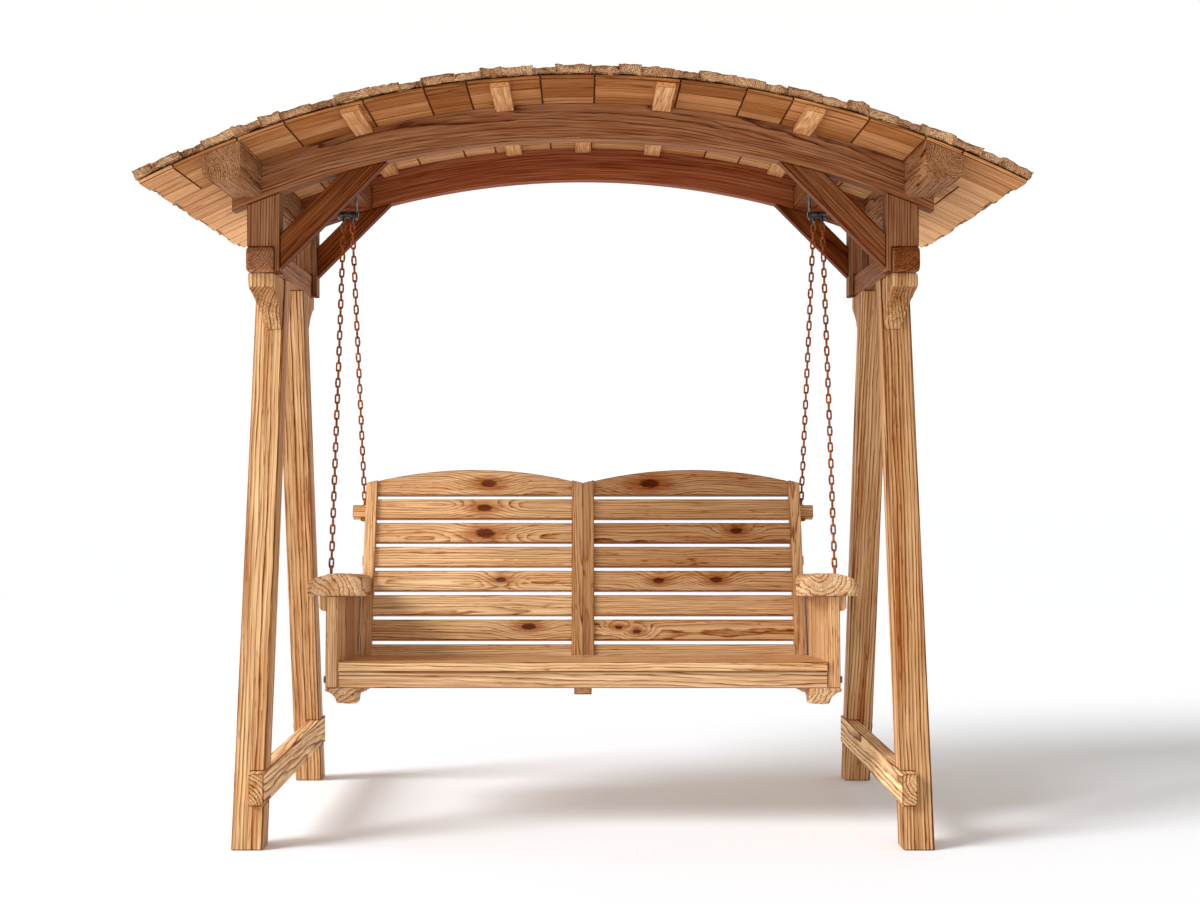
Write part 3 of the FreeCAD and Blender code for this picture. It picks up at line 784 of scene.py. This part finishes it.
def apply_modifier(piece: Piece, kind: str, **settings: Any) -> None:
    """Adds a modifier and applies it.

    Args:
        piece: The object.
        kind: Blender's name for the modifier.
        **settings: The modifier's properties.
    """
    activate(piece)
    modifier = piece.modifiers.new(kind.lower(), kind)
    for name, value in settings.items():
        setattr(modifier, name, value)
    bpy.ops.object.modifier_apply(modifier=modifier.name)


def smooth(piece: Piece) -> None:
    """Shades a piece smooth, with its large faces flat and its eased edges round.

    Args:
        piece: The object.
    """
    activate(piece)
    bpy.ops.object.shade_smooth_by_angle(angle=SHARP_ANGLE)
    apply_modifier(piece, "WEIGHTED_NORMAL", keep_sharp=True, weight=FACE_WEIGHT)


@dataclass(frozen=True)
class Hollows:
    """How uneven a hand tool or splitting leaves a surface: how deep and wide hollows are.

    The level is half for as much out as in, and more to go in.
    """

    depth_mm: float
    width_mm: float
    level: float = 0.5
    layers: int = 2

    def hew(self, piece: Piece) -> None:
        """Makes a piece's surface uneven.

        Args:
            piece: The object.
        """
        cloud = bpy.data.textures.new(piece.name + "_hew", "CLOUDS")
        cloud.noise_scale = self.width_mm * MM
        cloud.noise_depth = self.layers
        settings = {"strength": 2.0 * self.depth_mm * MM, "mid_level": self.level}
        apply_modifier(piece, "DISPLACE", texture=cloud, texture_coords="LOCAL", **settings)


@dataclass(frozen=True)
class Carving:
    """How a piece is carved: how often it is smoothed, its hollows, and how fine its surface is."""

    rounds: int
    hollows: Hollows
    voxel_mm: float = 4.0
    pull: float = 0.5


def bare_copy(node: str) -> Piece:
    """Copies a CAD node's mesh to a new object and welds it.

    Args:
        node: The node's name.

    Returns:
        The copy, named for the piece, in one welded mesh of whole faces without hollow outlines.
    """
    piece = frame["nodes"][node].copy()
    piece.data = piece.data.copy()
    piece.name = node + "_piece"
    piece.parent = None
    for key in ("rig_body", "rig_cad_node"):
        del piece[key]
    bpy.context.scene.collection.objects.link(piece)
    with editing(piece):
        bpy.ops.mesh.select_all(action="SELECT")
        bpy.ops.mesh.remove_doubles(threshold=WELD)
        bpy.ops.mesh.dissolve_limited(angle_limit=FLAT_ANGLE)
        bpy.ops.mesh.vert_connect_concave()
    return piece


def eased_copy(node: str, ease_mm: float, shortest_mm: float = 8.0) -> Piece:
    """Copies a CAD timber and takes the sharpness off its edges.

    Args:
        node: The node's name.
        ease_mm: How wide the edges are taken off.
        shortest_mm: Shorter edges, such as those of screw holes, stay.

    Returns:
        The copy.
    """
    piece = bare_copy(node)
    with editing(piece):
        select_where(piece, "EDGE", sharp_edge(shortest_mm * MM))
        bevel(ease_mm)
    smooth(piece)
    return piece


def carved_copy(node: str, carving: Carving) -> Piece:
    """Copies a CAD piece and softens it as carving does.

    Args:
        node: The node's name.
        carving: How it is carved.

    Returns:
        The copy.
    """
    piece = bare_copy(node)
    apply_modifier(piece, "REMESH", mode="VOXEL", voxel_size=carving.voxel_mm * MM)
    apply_modifier(piece, "SMOOTH", factor=carving.pull, iterations=carving.rounds)
    carving.hollows.hew(piece)
    activate(piece)
    bpy.ops.object.shade_smooth()
    return piece


def new_box(low: np.ndarray, high: np.ndarray) -> Piece:
    """Adds a cube at the size and place of a board.

    Args:
        low: Its lowest corner.
        high: Its highest corner.

    Returns:
        The box, with its place in its mesh.
    """
    bpy.ops.object.select_all(action="DESELECT")
    bpy.ops.mesh.primitive_cube_add(size=1.0, location=tuple((low + high) / 2))
    box = bpy.context.object
    box.scale = tuple(high - low)
    bpy.ops.object.transform_apply(location=True, rotation=False, scale=True)
    return box


def join(parts: Sequence[Piece], name: str) -> Piece:
    """Joins objects into one piece.

    Args:
        parts: The objects.
        name: The piece's name.

    Returns:
        The piece.
    """
    activate(parts[0])
    for part in parts[1:]:
        part.select_set(True)
    bpy.ops.object.join()
    piece = bpy.context.object
    piece.name = name
    return piece


@dataclass(frozen=True)
class Sawing:
    """How boards are made: how wide edges are taken off, cuts along X, Y and Z, and hollows from splitting.

    Boards can be widened along X, on each side.
    """

    ease_mm: float
    cuts: tuple[int, int, int] = (0, 0, 0)
    widen_mm: float = 0.0
    hollows: tuple[Hollows, ...] = ()


def sawn_boards(node: str, place: Frame, sawing: Sawing) -> Piece:
    """Models the boards of a CAD node anew, each from a cube of its size in the node's own frame.

    Args:
        node: The node's name.
        place: The frame that the boards are square in.
        sawing: How they are made.

    Returns:
        The boards as one piece.
    """
    wider = np.array((sawing.widen_mm * MM, 0.0, 0.0))
    solids = [place.local(solid) for solid in solids_of(node)]
    boxes = [new_box(points.min(axis=0) - wider, points.max(axis=0) + wider) for points in solids]
    piece = join(boxes, node + "_piece")
    with editing(piece):
        for axis, count in enumerate(sawing.cuts):
            if count:
                select_where(piece, "EDGE", along(axis))
                bpy.ops.mesh.subdivide(number_cuts=count)
        select_where(piece, "EDGE", sharp_edge(0.0))
        bevel(sawing.ease_mm)
    for hollows in sawing.hollows:
        hollows.hew(piece)
    move_points(piece.data, place.world(points_of(piece.data)))
    smooth(piece)
    return piece


def face_widths(mesh: Mesh) -> np.ndarray:
    """Measures how narrow each face of a mesh is.

    Args:
        mesh: The mesh.

    Returns:
        Twice each face's area over its rim, which is a long strip's width. Other faces count as wide.
    """
    corners = np.empty(len(mesh.loops), np.int32)
    mesh.loops.foreach_get("vertex_index", corners)
    starts, counts = (np.empty(len(mesh.polygons), np.int32) for _ in range(2))
    mesh.polygons.foreach_get("loop_start", starts)
    mesh.polygons.foreach_get("loop_total", counts)
    areas = np.empty(len(mesh.polygons), np.float32)
    mesh.polygons.foreach_get("area", areas)
    following = np.arange(len(corners)) + 1
    following[starts + counts - 1] = starts
    points = points_of(mesh)
    sides = np.linalg.norm(points[corners[following]] - points[corners], axis=1)
    widths = 2.0 * areas / np.add.reduceat(sides, starts)
    return np.where(areas > STRIP_SHARE * widths**2, widths, np.inf)


def write_attribute(mesh: Mesh, name: str, domain: str, values: np.ndarray) -> None:
    """Writes an attribute to a mesh's points or faces, a number or a row of three to each."""
    kind, key = ("FLOAT_VECTOR", "vector") if values.ndim == 2 else ("FLOAT", "value")
    mesh.attributes.new(name, kind, domain).data.foreach_set(key, values.astype(np.float32).ravel())


# Grain


@dataclass(frozen=True)
class Knot:
    """A knot in a board: which board from the top, where along it and across it, and its radius."""

    board: int
    along_mm: float
    across: float
    radius_mm: float


@dataclass(frozen=True)
class Grain:
    """How boards lie in the log: the frame, the axis of the fibres, their tone and their knots.

    Painted light says how much paler boards are painted towards the piece's two ends, and from one edge to
    the other, where more light falls.
    Boards cut further off the pith, counted in board widths, have straighter lines on their faces.
    Board tones, from the top board down, come on top of the piece's own tone.
    """

    place: Frame
    axis: Axis
    tone: float = 1.0
    tone_range: float = 0.09
    painted_light: Span = (0.0, 0.0)
    off_pith: float = 0.0
    board_tones: tuple[float, ...] = ()
    knots: tuple[Knot, ...] = ()

    def lay(self, piece: Piece) -> None:
        """Writes each board's place in its log to the piece's attributes.

        Args:
            piece: The finished mesh, in the row frame.
        """
        mesh = piece.data
        local = self.place.local(points_of(mesh))[:, list(self.axis.value)]
        parts = sorted(loose_parts(mesh), key=lambda part: -local[part, 1].mean())
        rng = random.Random(zlib.crc32(piece.name.encode()))
        log_place = np.empty_like(local)
        tone = np.empty(len(local))
        for part, own_tone in zip(parts, self.board_tones or [1.0] * len(parts)):
            low, high = local[part].min(axis=0), local[part].max(axis=0)
            own = local[part] - (low + high) / 2
            width = max((high - low)[1], LEAST_WIDTH)
            beside = (rng.uniform(-PITH_SPREAD, PITH_SPREAD) + self.off_pith) * width
            pith = (beside, rng.choice((-1, 1)) * rng.uniform(*PITH_DEPTH))
            slope = [rng.uniform(-most, most) for most in SLOPES]
            log_place[part, 0] = own[:, 0] + rng.uniform(0.0, LOG_LENGTH)
            for k in (0, 1):
                log_place[part, k + 1] = own[:, k + 1] - pith[k] + slope[k] * own[:, 0]
            middle = (low + high)[:2] / np.ptp(local[:, :2], axis=0)
            # Painted light: boards paler towards the ends and towards one edge
            painted_light_lift = self.painted_light[0] * abs(middle[0]) ** PAINTED_LIGHT_POWER + self.painted_light[1] * middle[1]
            tone[part] = self.tone * own_tone + rng.uniform(-self.tone_range, self.tone_range) + painted_light_lift
        write_attribute(mesh, GRAIN, "POINT", log_place)
        write_attribute(mesh, TONE, "POINT", tone)
        self._mark_faces(mesh)
        self._mark_knots(mesh, local, parts)

    def _mark_faces(self, mesh: Mesh) -> None:
        """Marks the faces that cut across the grain, and those of eased edges.

        Args:
            mesh: The piece's mesh.
        """
        centres = np.array([tuple(face.center) for face in mesh.polygons])
        normals = np.array([tuple(face.normal) for face in mesh.polygons])
        tips = np.abs(self.place.local(centres + PROBE * normals) - self.place.local(centres)) / PROBE
        across = tips[:, self.axis.value[0]]
        write_attribute(mesh, END_GRAIN, "FACE", np.clip((across - END_TURN) / END_FADE, 0.0, 1.0))
        eased = (face_widths(mesh) < EASED_WIDTH) & (tips.max(axis=1) < SQUARE_TURN)
        write_attribute(mesh, EASED, "FACE", eased)

    def _mark_knots(self, mesh: Mesh, local: np.ndarray, parts: list[np.ndarray]) -> None:
        """Writes the way from each knot, in knot radii, to the boards that have one.

        Args:
            mesh: The piece's mesh.
            local: The vertices, along, across and through the board.
            parts: The boards from the top down.
        """
        marks = [np.zeros((len(local), 3)) for _ in KNOTS]
        taken: dict[int, int] = {}
        for knot in self.knots:
            part = parts[knot.board]
            low, high = local[part, 1].min(), local[part, 1].max()
            middle = (low + high) / 2 + knot.across * (high - low) / 2
            mark = marks[taken.get(knot.board, 0)]
            taken[knot.board] = taken.get(knot.board, 0) + 1
            radius = knot.radius_mm * MM
            mark[part, 0] = (local[part, 0] - knot.along_mm * MM) / (KNOT_STRETCH * radius)
            mark[part, 1] = (local[part, 1] - middle) / radius
            mark[part, 2] = 1.0
        if self.knots:
            for name, mark in zip(KNOTS, marks):
                write_attribute(mesh, name, "POINT", mark)


# Sub-assemblies


@dataclass
class SubAssembly:
    """What sub-assemblies share: finishes, a body, a material slot, eased edges and ways to make pieces."""

    looks: dict[Finish, Material]
    body: Body = Body.STAND
    slot: Slot = Slot.STAND_TIMBER
    ease_mm: float = 3.0

    def dress(self, piece: Piece, node: str, finish: Finish) -> None:
        """Gives a piece its finish, and puts it on its body in place of a CAD node.

        Args:
            piece: The piece.
            node: The node that it replaces.
            finish: Its finish.
        """
        piece.data.materials.clear()
        piece.data.materials.append(self.looks[finish])
        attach(piece, self.body.value)
        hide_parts(node)
        log.info("%s: %d faces on %s", piece.name, len(piece.data.polygons), self.body.value)

    def lay(self, piece: Piece, node: str, grain: Grain, finish: Finish) -> None:
        """Gives a wooden piece its grain, and dresses it."""
        grain.lay(piece)
        self.dress(piece, node, finish)

    def timber(self, node: str, grain: Grain, finish: Finish) -> None:
        """Makes a timber with eased edges from a CAD node."""
        self.lay(eased_copy(node, self.ease_mm), node, grain, finish)

    def carved(self, node: str, grain: Grain, finish: Finish, carving: Carving) -> None:
        """Makes a carved piece from a CAD node."""
        self.lay(carved_copy(node, carving), node, grain, finish)

    def boards(self, node: str, place: Frame, sawing: Sawing, grain: Grain, finish: Finish) -> None:
        """Makes the boards of a CAD node anew, in the frame that they are square in."""
        self.lay(sawn_boards(node, place, sawing), node, grain, finish)

    def keep(self, node: str, finish: Finish) -> None:
        """Keeps a CAD node as it is, with a better material.

        Args:
            node: The node.
            finish: Its finish.
        """
        kept = frame["nodes"][node]
        kept.data.materials.clear()
        kept.data.materials.append(self.looks[finish])
        log.info("%s: kept, %d faces on %s", node, len(kept.data.polygons), self.body.value)


@dataclass
class SideFrames(SubAssembly):
    """The two side frames: leaning legs, stretchers, cap beams, carved corbels and head posts.

    The legs' tones are those of the front left, front right, rear left and rear right one.
    The right legs are darker, partly their own timber and partly painted shade, as light falls off away
    from the left.
    """

    ease_mm: float = 3.5
    lean_degrees: float = 13.5
    groove_mm: float = 1.6
    groove_steps: int = 2
    groove_reach: float = 0.1
    off_pith: float = 1.9
    cap_carving: Carving = Carving(7, Hollows(1.5, 35.0))
    corbel_carving: Carving = Carving(5, Hollows(2.0, 35.0))
    leg_tones: tuple[float, ...] = (0.95, 0.72, 0.88, 0.8)
    stretcher_tone: float = 1.2
    # The left cap is painted paler, as lit, and the right one darker: painted light and shade
    cap_tones: Span = (1.7, 1.05)
    post_tone: float = 1.24
    corbel_tone: float = 0.88

    def build(self) -> None:
        """Models and dresses the side frames."""
        places = [(end, side, way) for end, way in zip(ENDS, (-1, 1)) for side in SIDES]
        for (end, side, way), tone in zip(places, self.leg_tones):
            node = f"leg_{end}_{side}"
            lean = TurnedFrame(about_x=way * self.lean_degrees)
            leg = eased_copy(node, self.ease_mm)
            self._groove(leg, (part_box(node)[0].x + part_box(node)[1].x) / 2)
            self.lay(leg, node, Grain(lean, Axis.Z, tone, off_pith=self.off_pith), Finish.LEGS)
        for side, tone in zip(SIDES, self.cap_tones):
            self.timber(f"stretcher_{side}", Grain(LEVEL, Axis.Y, self.stretcher_tone), Finish.LEGS)
            self.carved(f"cap_beam_{side}", Grain(LEVEL, Axis.Y, tone), Finish.BROWN, self.cap_carving)
        self.timber("head_posts", Grain(LEVEL, Axis.Z, self.post_tone), Finish.BROWN)
        lay = Grain(LEVEL, Axis.Z, self.corbel_tone, off_pith=self.off_pith)
        self.carved("corbels", lay, Finish.LEGS, self.corbel_carving)
        self.keep("stand_screws", Finish.SCREWS)

    def _groove(self, leg: Piece, middle: float) -> None:
        """Cuts the fine groove where a leg's two halves are glued together.

        Args:
            leg: The leg.
            middle: Where the glue line is along X.
        """
        hair = self.groove_reach * self.groove_mm * MM
        with editing(leg):
            bpy.ops.mesh.select_mode(type="EDGE")
            bpy.ops.mesh.select_all(action="SELECT")
            bpy.ops.mesh.bisect(plane_co=(middle, 0.0, 0.0), plane_no=(1.0, 0.0, 0.0))
            bevel(self.groove_mm, self.groove_steps)
            select_where(leg, "EDGE", lambda edge: all(abs(end.co.x - middle) < hair for end in edge.verts))
            bpy.ops.transform.shrink_fatten(value=-self.groove_mm * MM)
        smooth(leg)


@dataclass
class ArchedBeams(SubAssembly):
    """The two arched beams with their knee braces, and the hanger rails between them."""

    slot: Slot = Slot.BEAM_TIMBER
    finishes: tuple[Finish, Finish] = (Finish.FRONT_BEAM, Finish.REAR_BEAM)
    brace_degrees: float = 45.0
    brace_tones: Span = (0.86, 0.74)
    rail_tone: float = 0.85

    def build(self) -> None:
        """Models and dresses the beams."""
        for end, finish, tone in zip(ENDS, self.finishes, self.brace_tones):
            self.timber(f"arch_beam_{end}", Grain(ARCH, Axis.X), finish)
            for side, way in zip(SIDES, (1, -1)):
                lay = Grain(TurnedFrame(about_y=way * self.brace_degrees), Axis.Z, tone)
                self.timber(f"knee_brace_{end}_{side}", lay, Finish.BROWN)
        for side in SIDES:
            self.timber(f"hanger_rail_{side}", Grain(LEVEL, Axis.Y, self.rail_tone), Finish.BROWN)


@dataclass
class Purlins(SubAssembly):
    """The two round-edged purlins under the eaves."""

    slot: Slot = Slot.ROOF_TIMBER
    ease_mm: float = 5.0
    tone: float = 0.68

    def build(self) -> None:
        """Models and dresses the purlins."""
        for side in SIDES:
            self.timber(f"eave_purlin_{side}", Grain(LEVEL, Axis.Y, self.tone), Finish.PLANKS)


@dataclass
class Roof(SubAssembly):
    """The roof: battens, the deck of short boards and the split planks on top."""

    slot: Slot = Slot.ROOF_TIMBER
    ease_mm: float = 1.2
    deck_sawing: Sawing = Sawing(2.2, (5, 0, 0))
    # The deck is painted paler towards its ends and the rear and darker at the front: painted light and
    # shade under the roof
    deck: Grain = Grain(ARCH, Axis.X, 0.92, 0.18, (0.5, 0.35))
    plank_sawing: Sawing = Sawing(1.2, (7, 60, 2), 3.5, (Hollows(9.0, 50.0, 0.66), Hollows(4.0, 13.0)))
    planks: Grain = Grain(ARCH, Axis.Y, 1.1, 0.16)

    def build(self) -> None:
        """Models and dresses the roof."""
        self.timber("roof_battens", Grain(ARCH, Axis.Y), Finish.BATTENS)
        self.boards("roof_boards", ARCH, self.deck_sawing, self.deck, Finish.DECK)
        self.boards("roof_planks", ARCH, self.plank_sawing, self.planks, Finish.PLANKS)


@dataclass
class Hangers(SubAssembly):
    """The steel hangers: brackets under the rails, with their pins and screws."""

    slot: Slot = Slot.HANGER_STEEL
    ease_mm: float = 0.8

    def build(self) -> None:
        """Models and dresses the hangers."""
        for side in SIDES:
            node = f"hanger_bracket_{side}"
            self.dress(eased_copy(node, self.ease_mm), node, Finish.HANGERS)
        self.keep("hanger_pins", Finish.HANGERS)
        self.keep("hanger_screws", Finish.SCREWS)


@dataclass
class Chains(SubAssembly):
    """The four chains of welded links, with the eyes that they hang in."""

    body: Body = Body.SWING
    slot: Slot = Slot.CHAIN_STEEL
    ring_steps: int = 16
    wire_steps: int = 6
    wire_swell: float = 1.2
    weld_swell: float = 1.22
    hair_share: float = 0.01

    def build(self) -> None:
        """Models and dresses the chains."""
        for end in ENDS:
            for side in SIDES:
                node = f"chain_{end}_{side}"
                self.dress(self._chain(node), node, Finish.CHAINS)
        for side in SIDES:
            self.keep(f"swivel_eyes_{side}", Finish.HANGERS)
        for node in ("arm_eye_bolts", "back_eye_bolts"):
            self.keep(node, Finish.CHAINS)

    def _chain(self, node: str) -> Piece:
        """Models one link and copies it to every link of a chain.

        Args:
            node: The chain's CAD node.

        Returns:
            The chain.
        """
        links = []
        first = None
        for points in solids_of(node):
            middle = (points.min(axis=0) + points.max(axis=0)) / 2
            own = points - middle
            turn = np.linalg.eigh(own.T @ own)[1][:, ::-1]
            turn[:, 2] = np.cross(turn[:, 0], turn[:, 1])
            if first is None:
                first = self._link(np.ptp(own @ turn, axis=0))
            link = first.copy()
            link.data = first.data.copy()
            bpy.context.scene.collection.objects.link(link)
            link.data.transform(Matrix.Translation(middle) @ Matrix(turn.tolist()).to_4x4())
            links.append(link)
        bpy.data.objects.remove(first)
        chain = join(links, node + "_piece")
        bpy.ops.object.shade_smooth()
        return chain

    def _link(self, size: np.ndarray) -> Piece:
        """Models a link: a ring, pulled out to two bends with straight sides, one with a weld.

        Args:
            size: The link's length, width and wire.

        Returns:
            The link, lying flat along X.
        """
        wire = self.wire_swell * size[2] / 2
        ring = size[1] / 2 - wire
        pull = (size[0] - size[1]) / 2
        hair = self.hair_share * wire
        steps = {"major_segments": self.ring_steps, "minor_segments": self.wire_steps}
        bpy.ops.object.select_all(action="DESELECT")
        bpy.ops.mesh.primitive_torus_add(major_radius=ring, minor_radius=wire, **steps)
        link = bpy.context.object
        with editing(link):
            for way in (-1, 1):
                select_where(link, "VERT", lambda corner: way * corner.co.x > hair)
                bpy.ops.transform.translate(value=(way * pull, 0.0, 0.0))
            select_where(link, "VERT", lambda corner: abs(corner.co.x) < hair and corner.co.y > 0)
            swell = self.weld_swell
            bpy.ops.transform.resize(value=(1.0, swell, swell), center_override=(0.0, ring, 0.0))
        return link


@dataclass
class Bench(SubAssembly):
    """The seat: slats on an apron, side rails and a bearer, with two carved runners below."""

    body: Body = Body.SWING
    slot: Slot = Slot.SEAT_TIMBER
    tilt_degrees: float = 3.5
    runner_carving: Carving = Carving(4, Hollows(2.5, 40.0))
    runner_tone: float = 0.88

    def build(self) -> None:
        """Models and dresses the seat."""
        tilt = TurnedFrame(about_x=-self.tilt_degrees)
        self.boards("seat_slats", tilt, Sawing(self.ease_mm), Grain(tilt, Axis.X), Finish.SEAT)
        self.timber("front_apron", Grain(tilt, Axis.X), Finish.SLABS)
        for node in ("seat_side_rails", "centre_bearer"):
            self.timber(node, Grain(tilt, Axis.Y), Finish.SEAT)
        for side in SIDES:
            lay = Grain(tilt, Axis.Y, self.runner_tone)
            self.carved(f"end_runner_{side}", lay, Finish.SLABS, self.runner_carving)
        self.keep("seat_screws", Finish.SCREWS)


@dataclass(frozen=True)
class Panel:
    """The wood of one panel of the back: its tones, its slats' tones from the top, and its knots."""

    tone: float
    rail_tone: float
    slat_tones: tuple[float, ...]
    slat_knots: tuple[Knot, ...]
    rail_knot: Knot


LEFT_PANEL = Panel(
    0.98,
    0.98,
    (0.95, 0.92, 1.0, 1.15, 1.1, 1.0, 1.1),
    (
        Knot(0, -314.0, 0.1, 16.0),
        Knot(1, -308.0, -0.1, 21.0),
        Knot(3, -257.0, 0.1, 11.0),
        Knot(5, -168.0, 0.3, 15.0),
    ),
    Knot(0, -301.0, -0.1, 17.0),
)
# The right panel, its top rail and its upper slats are painted darker: painted shadow of the roof over the
# back's upper right
RIGHT_PANEL = Panel(
    0.86,
    0.74,
    (0.92, 0.84, 0.88, 1.02, 1.1, 1.14, 1.18),
    (
        Knot(1, 485.0, 0.2, 13.0),
        Knot(3, 238.0, 0.0, 12.0),
        Knot(3, 418.0, 0.1, 13.0),
        Knot(5, 111.0, 0.2, 8.0),
        Knot(5, 168.0, -0.2, 9.0),
    ),
    Knot(0, 212.0, -0.1, 21.0),
)


@dataclass
class Back(SubAssembly):
    """The back: two panels of slats between stiles, each with an arched top rail, and the rails behind."""

    body: Body = Body.SWING
    slot: Slot = Slot.SEAT_TIMBER
    ease_mm: float = 2.5
    lean_degrees: float = 19.0
    stile_ease_mm: float = 4.0
    stile_shade: float = 0.85
    press_mm: float = 0.3
    slat_range: float = 0.03
    panels: tuple[Panel, Panel] = (LEFT_PANEL, RIGHT_PANEL)

    def build(self) -> None:
        """Models and dresses the back."""
        lean = TurnedFrame(about_x=-self.lean_degrees)
        across = TurnedFrame(about_x=90.0 - self.lean_degrees)
        for side, panel in zip(SIDES, self.panels):
            tones = {"tone": panel.tone, "tone_range": self.slat_range, "board_tones": panel.slat_tones}
            slats = Grain(across, Axis.X, knots=panel.slat_knots, **tones)
            self.boards(f"back_slats_{side}", lean, Sawing(self.ease_mm), slats, Finish.SEAT)
            rail = Grain(across, Axis.X, panel.rail_tone, knots=(panel.rail_knot,))
            self.timber(f"top_rail_{side}", rail, Finish.SEAT)
            self.timber(f"back_stile_outer_{side}", Grain(lean, Axis.Z, panel.tone), Finish.SEAT)
            node = f"back_stile_inner_{side}"
            stile = eased_copy(node, self.stile_ease_mm)
            self._press(stile)
            self.lay(stile, node, Grain(lean, Axis.Z, self.stile_shade * panel.tone), Finish.SEAT)
        for node in ("upper_back_rail", "lower_back_rail", "foot_back_rail"):
            self.timber(node, Grain(lean, Axis.X), Finish.SEAT)

    def _press(self, stile: Piece) -> None:
        """Moves an inner stile's side onto the middle, so that no light shows between the two stiles.

        Args:
            stile: The stile.
        """
        points = points_of(stile.data)
        points[np.abs(points[:, 0]) < self.press_mm * MM, 0] = 0.0
        move_points(stile.data, points)


@dataclass
class Arms(SubAssembly):
    """The arms: posts, carved armrests, cleats and the side boards below."""

    body: Body = Body.SWING
    slot: Slot = Slot.SEAT_TIMBER
    ease_mm: float = 2.5
    tilt_degrees: float = 3.5
    rest_carving: Carving = Carving(6, Hollows(2.5, 45.0))
    rest_tones: Span = (0.86, 1.0)
    post_tone: float = 0.95
    cleat_tone: float = 0.85
    board_tone: float = 0.92

    def build(self) -> None:
        """Models and dresses the arms."""
        tilt = TurnedFrame(about_x=-self.tilt_degrees)
        for side, tone in zip(SIDES, self.rest_tones):
            self.carved(f"armrest_{side}", Grain(tilt, Axis.Y, tone), Finish.SLABS, self.rest_carving)
            self.timber(f"arm_post_{side}", Grain(tilt, Axis.Z, self.post_tone), Finish.SEAT)
        self.timber("arm_cleats", Grain(tilt, Axis.Z, self.cleat_tone), Finish.SEAT)
        self.timber("side_boards", Grain(tilt, Axis.Z, self.board_tone), Finish.SEAT)


@dataclass
class Studio:
    """A pale floor, soft light from the upper left and a level camera in front."""

    floor_size: float = 80.0
    floor_colour: str = "#F3F8FF"
    floor_roughness: float = 0.9
    camera_place: Triple = (0.0, -5.386, 1.028)
    lens_mm: float = 53.33
    shift: Span = (0.0142, 0.015)
    exposure: float = 0.08
    sun_from: Triple = (-0.76, -0.32, 0.57)
    sun_power: float = 2.75
    sun_degrees: float = 24.0
    panel_place: Triple = (-4.6, -0.9, 0.9)
    panel_way: Triple = (1.0, 0.0, 0.0)
    panel_size: float = 2.0
    panel_watts: float = 90.0
    sky_heights: Span = (0.28, 0.5)
    sky_powers: Span = (1.0, 0.48)
    low_colour: str = "#FFFFFF"
    high_colour: str = "#FFF2E2"

    def build(self) -> None:
        """Makes the floor, the lights, the sky and the camera."""
        bpy.ops.object.select_all(action="DESELECT")
        bpy.ops.mesh.primitive_plane_add(size=self.floor_size)
        floor = bpy.context.object
        floor.name = "floor"
        # Floor: matt white paint that takes nothing but soft shadows
        paint = new_material("matt_white_paint")
        inputs = {"Base Color": linear(self.floor_colour), "Roughness": self.floor_roughness}
        fill(paint.node_tree, paint.node_tree.nodes[SHADER], inputs)
        floor.data.materials.append(paint)
        self._lights()
        self._sky()
        self._camera()

    def _lights(self) -> None:
        """Makes one soft sun and a low panel on the left."""
        sun = bpy.data.lights.new("key_light", "SUN")
        sun.energy = self.sun_power
        sun.angle = math.radians(self.sun_degrees)
        panel = bpy.data.lights.new("side_panel", "AREA")
        panel.energy = self.panel_watts
        panel.size = self.panel_size
        ways = (-Vector(self.sun_from), Vector(self.panel_way))
        for light, place, way in zip((sun, panel), (self.sun_from, self.panel_place), ways):
            lamp = bpy.data.objects.new(light.name, light)
            lamp.location = place
            lamp.rotation_euler = way.to_track_quat("-Z", "Y").to_euler()
            bpy.context.scene.collection.objects.link(lamp)

    def _sky(self) -> None:
        """Makes a sky that is white all round, and dimmer and warmer overhead."""
        sky = bpy.data.worlds.new("white_sky")
        sky.use_nodes = True
        tree = sky.node_tree
        way = add_node(tree, "ShaderNodeTexCoord", {}).outputs["Generated"]
        height = add_node(tree, "ShaderNodeSeparateXYZ", {0: way}).outputs["Z"]
        inputs = {
            "Color": mix(tree, height, linear(self.low_colour), linear(self.high_colour)),
            "Strength": remap(tree, height, self.sky_heights, self.sky_powers, SMOOTH),
        }
        fill(tree, tree.nodes["Background"], inputs)
        bpy.context.scene.world = sky

    def _camera(self) -> None:
        """Makes the camera and the plain view of colours."""
        lens = bpy.data.cameras.new("camera")
        lens.lens = self.lens_mm
        lens.shift_x, lens.shift_y = self.shift
        camera = bpy.data.objects.new("camera", lens)
        camera.location = self.camera_place
        camera.rotation_euler = (math.radians(90.0), 0.0, 0.0)
        bpy.context.scene.collection.objects.link(camera)
        bpy.context.scene.camera = camera
        bpy.context.scene.view_settings.view_transform = "Standard"
        bpy.context.scene.view_settings.exposure = self.exposure


def main() -> None:
    """Builds the sub-assemblies in order, then the studio."""
    looks = {finish: finish.value.material() for finish in Finish}
    for kind in (SideFrames, ArchedBeams, Purlins, Roof, Hangers, Chains, Bench, Back, Arms):
        kind(looks).build()
    Studio().build()


if __name__ == "__main__":
    main()
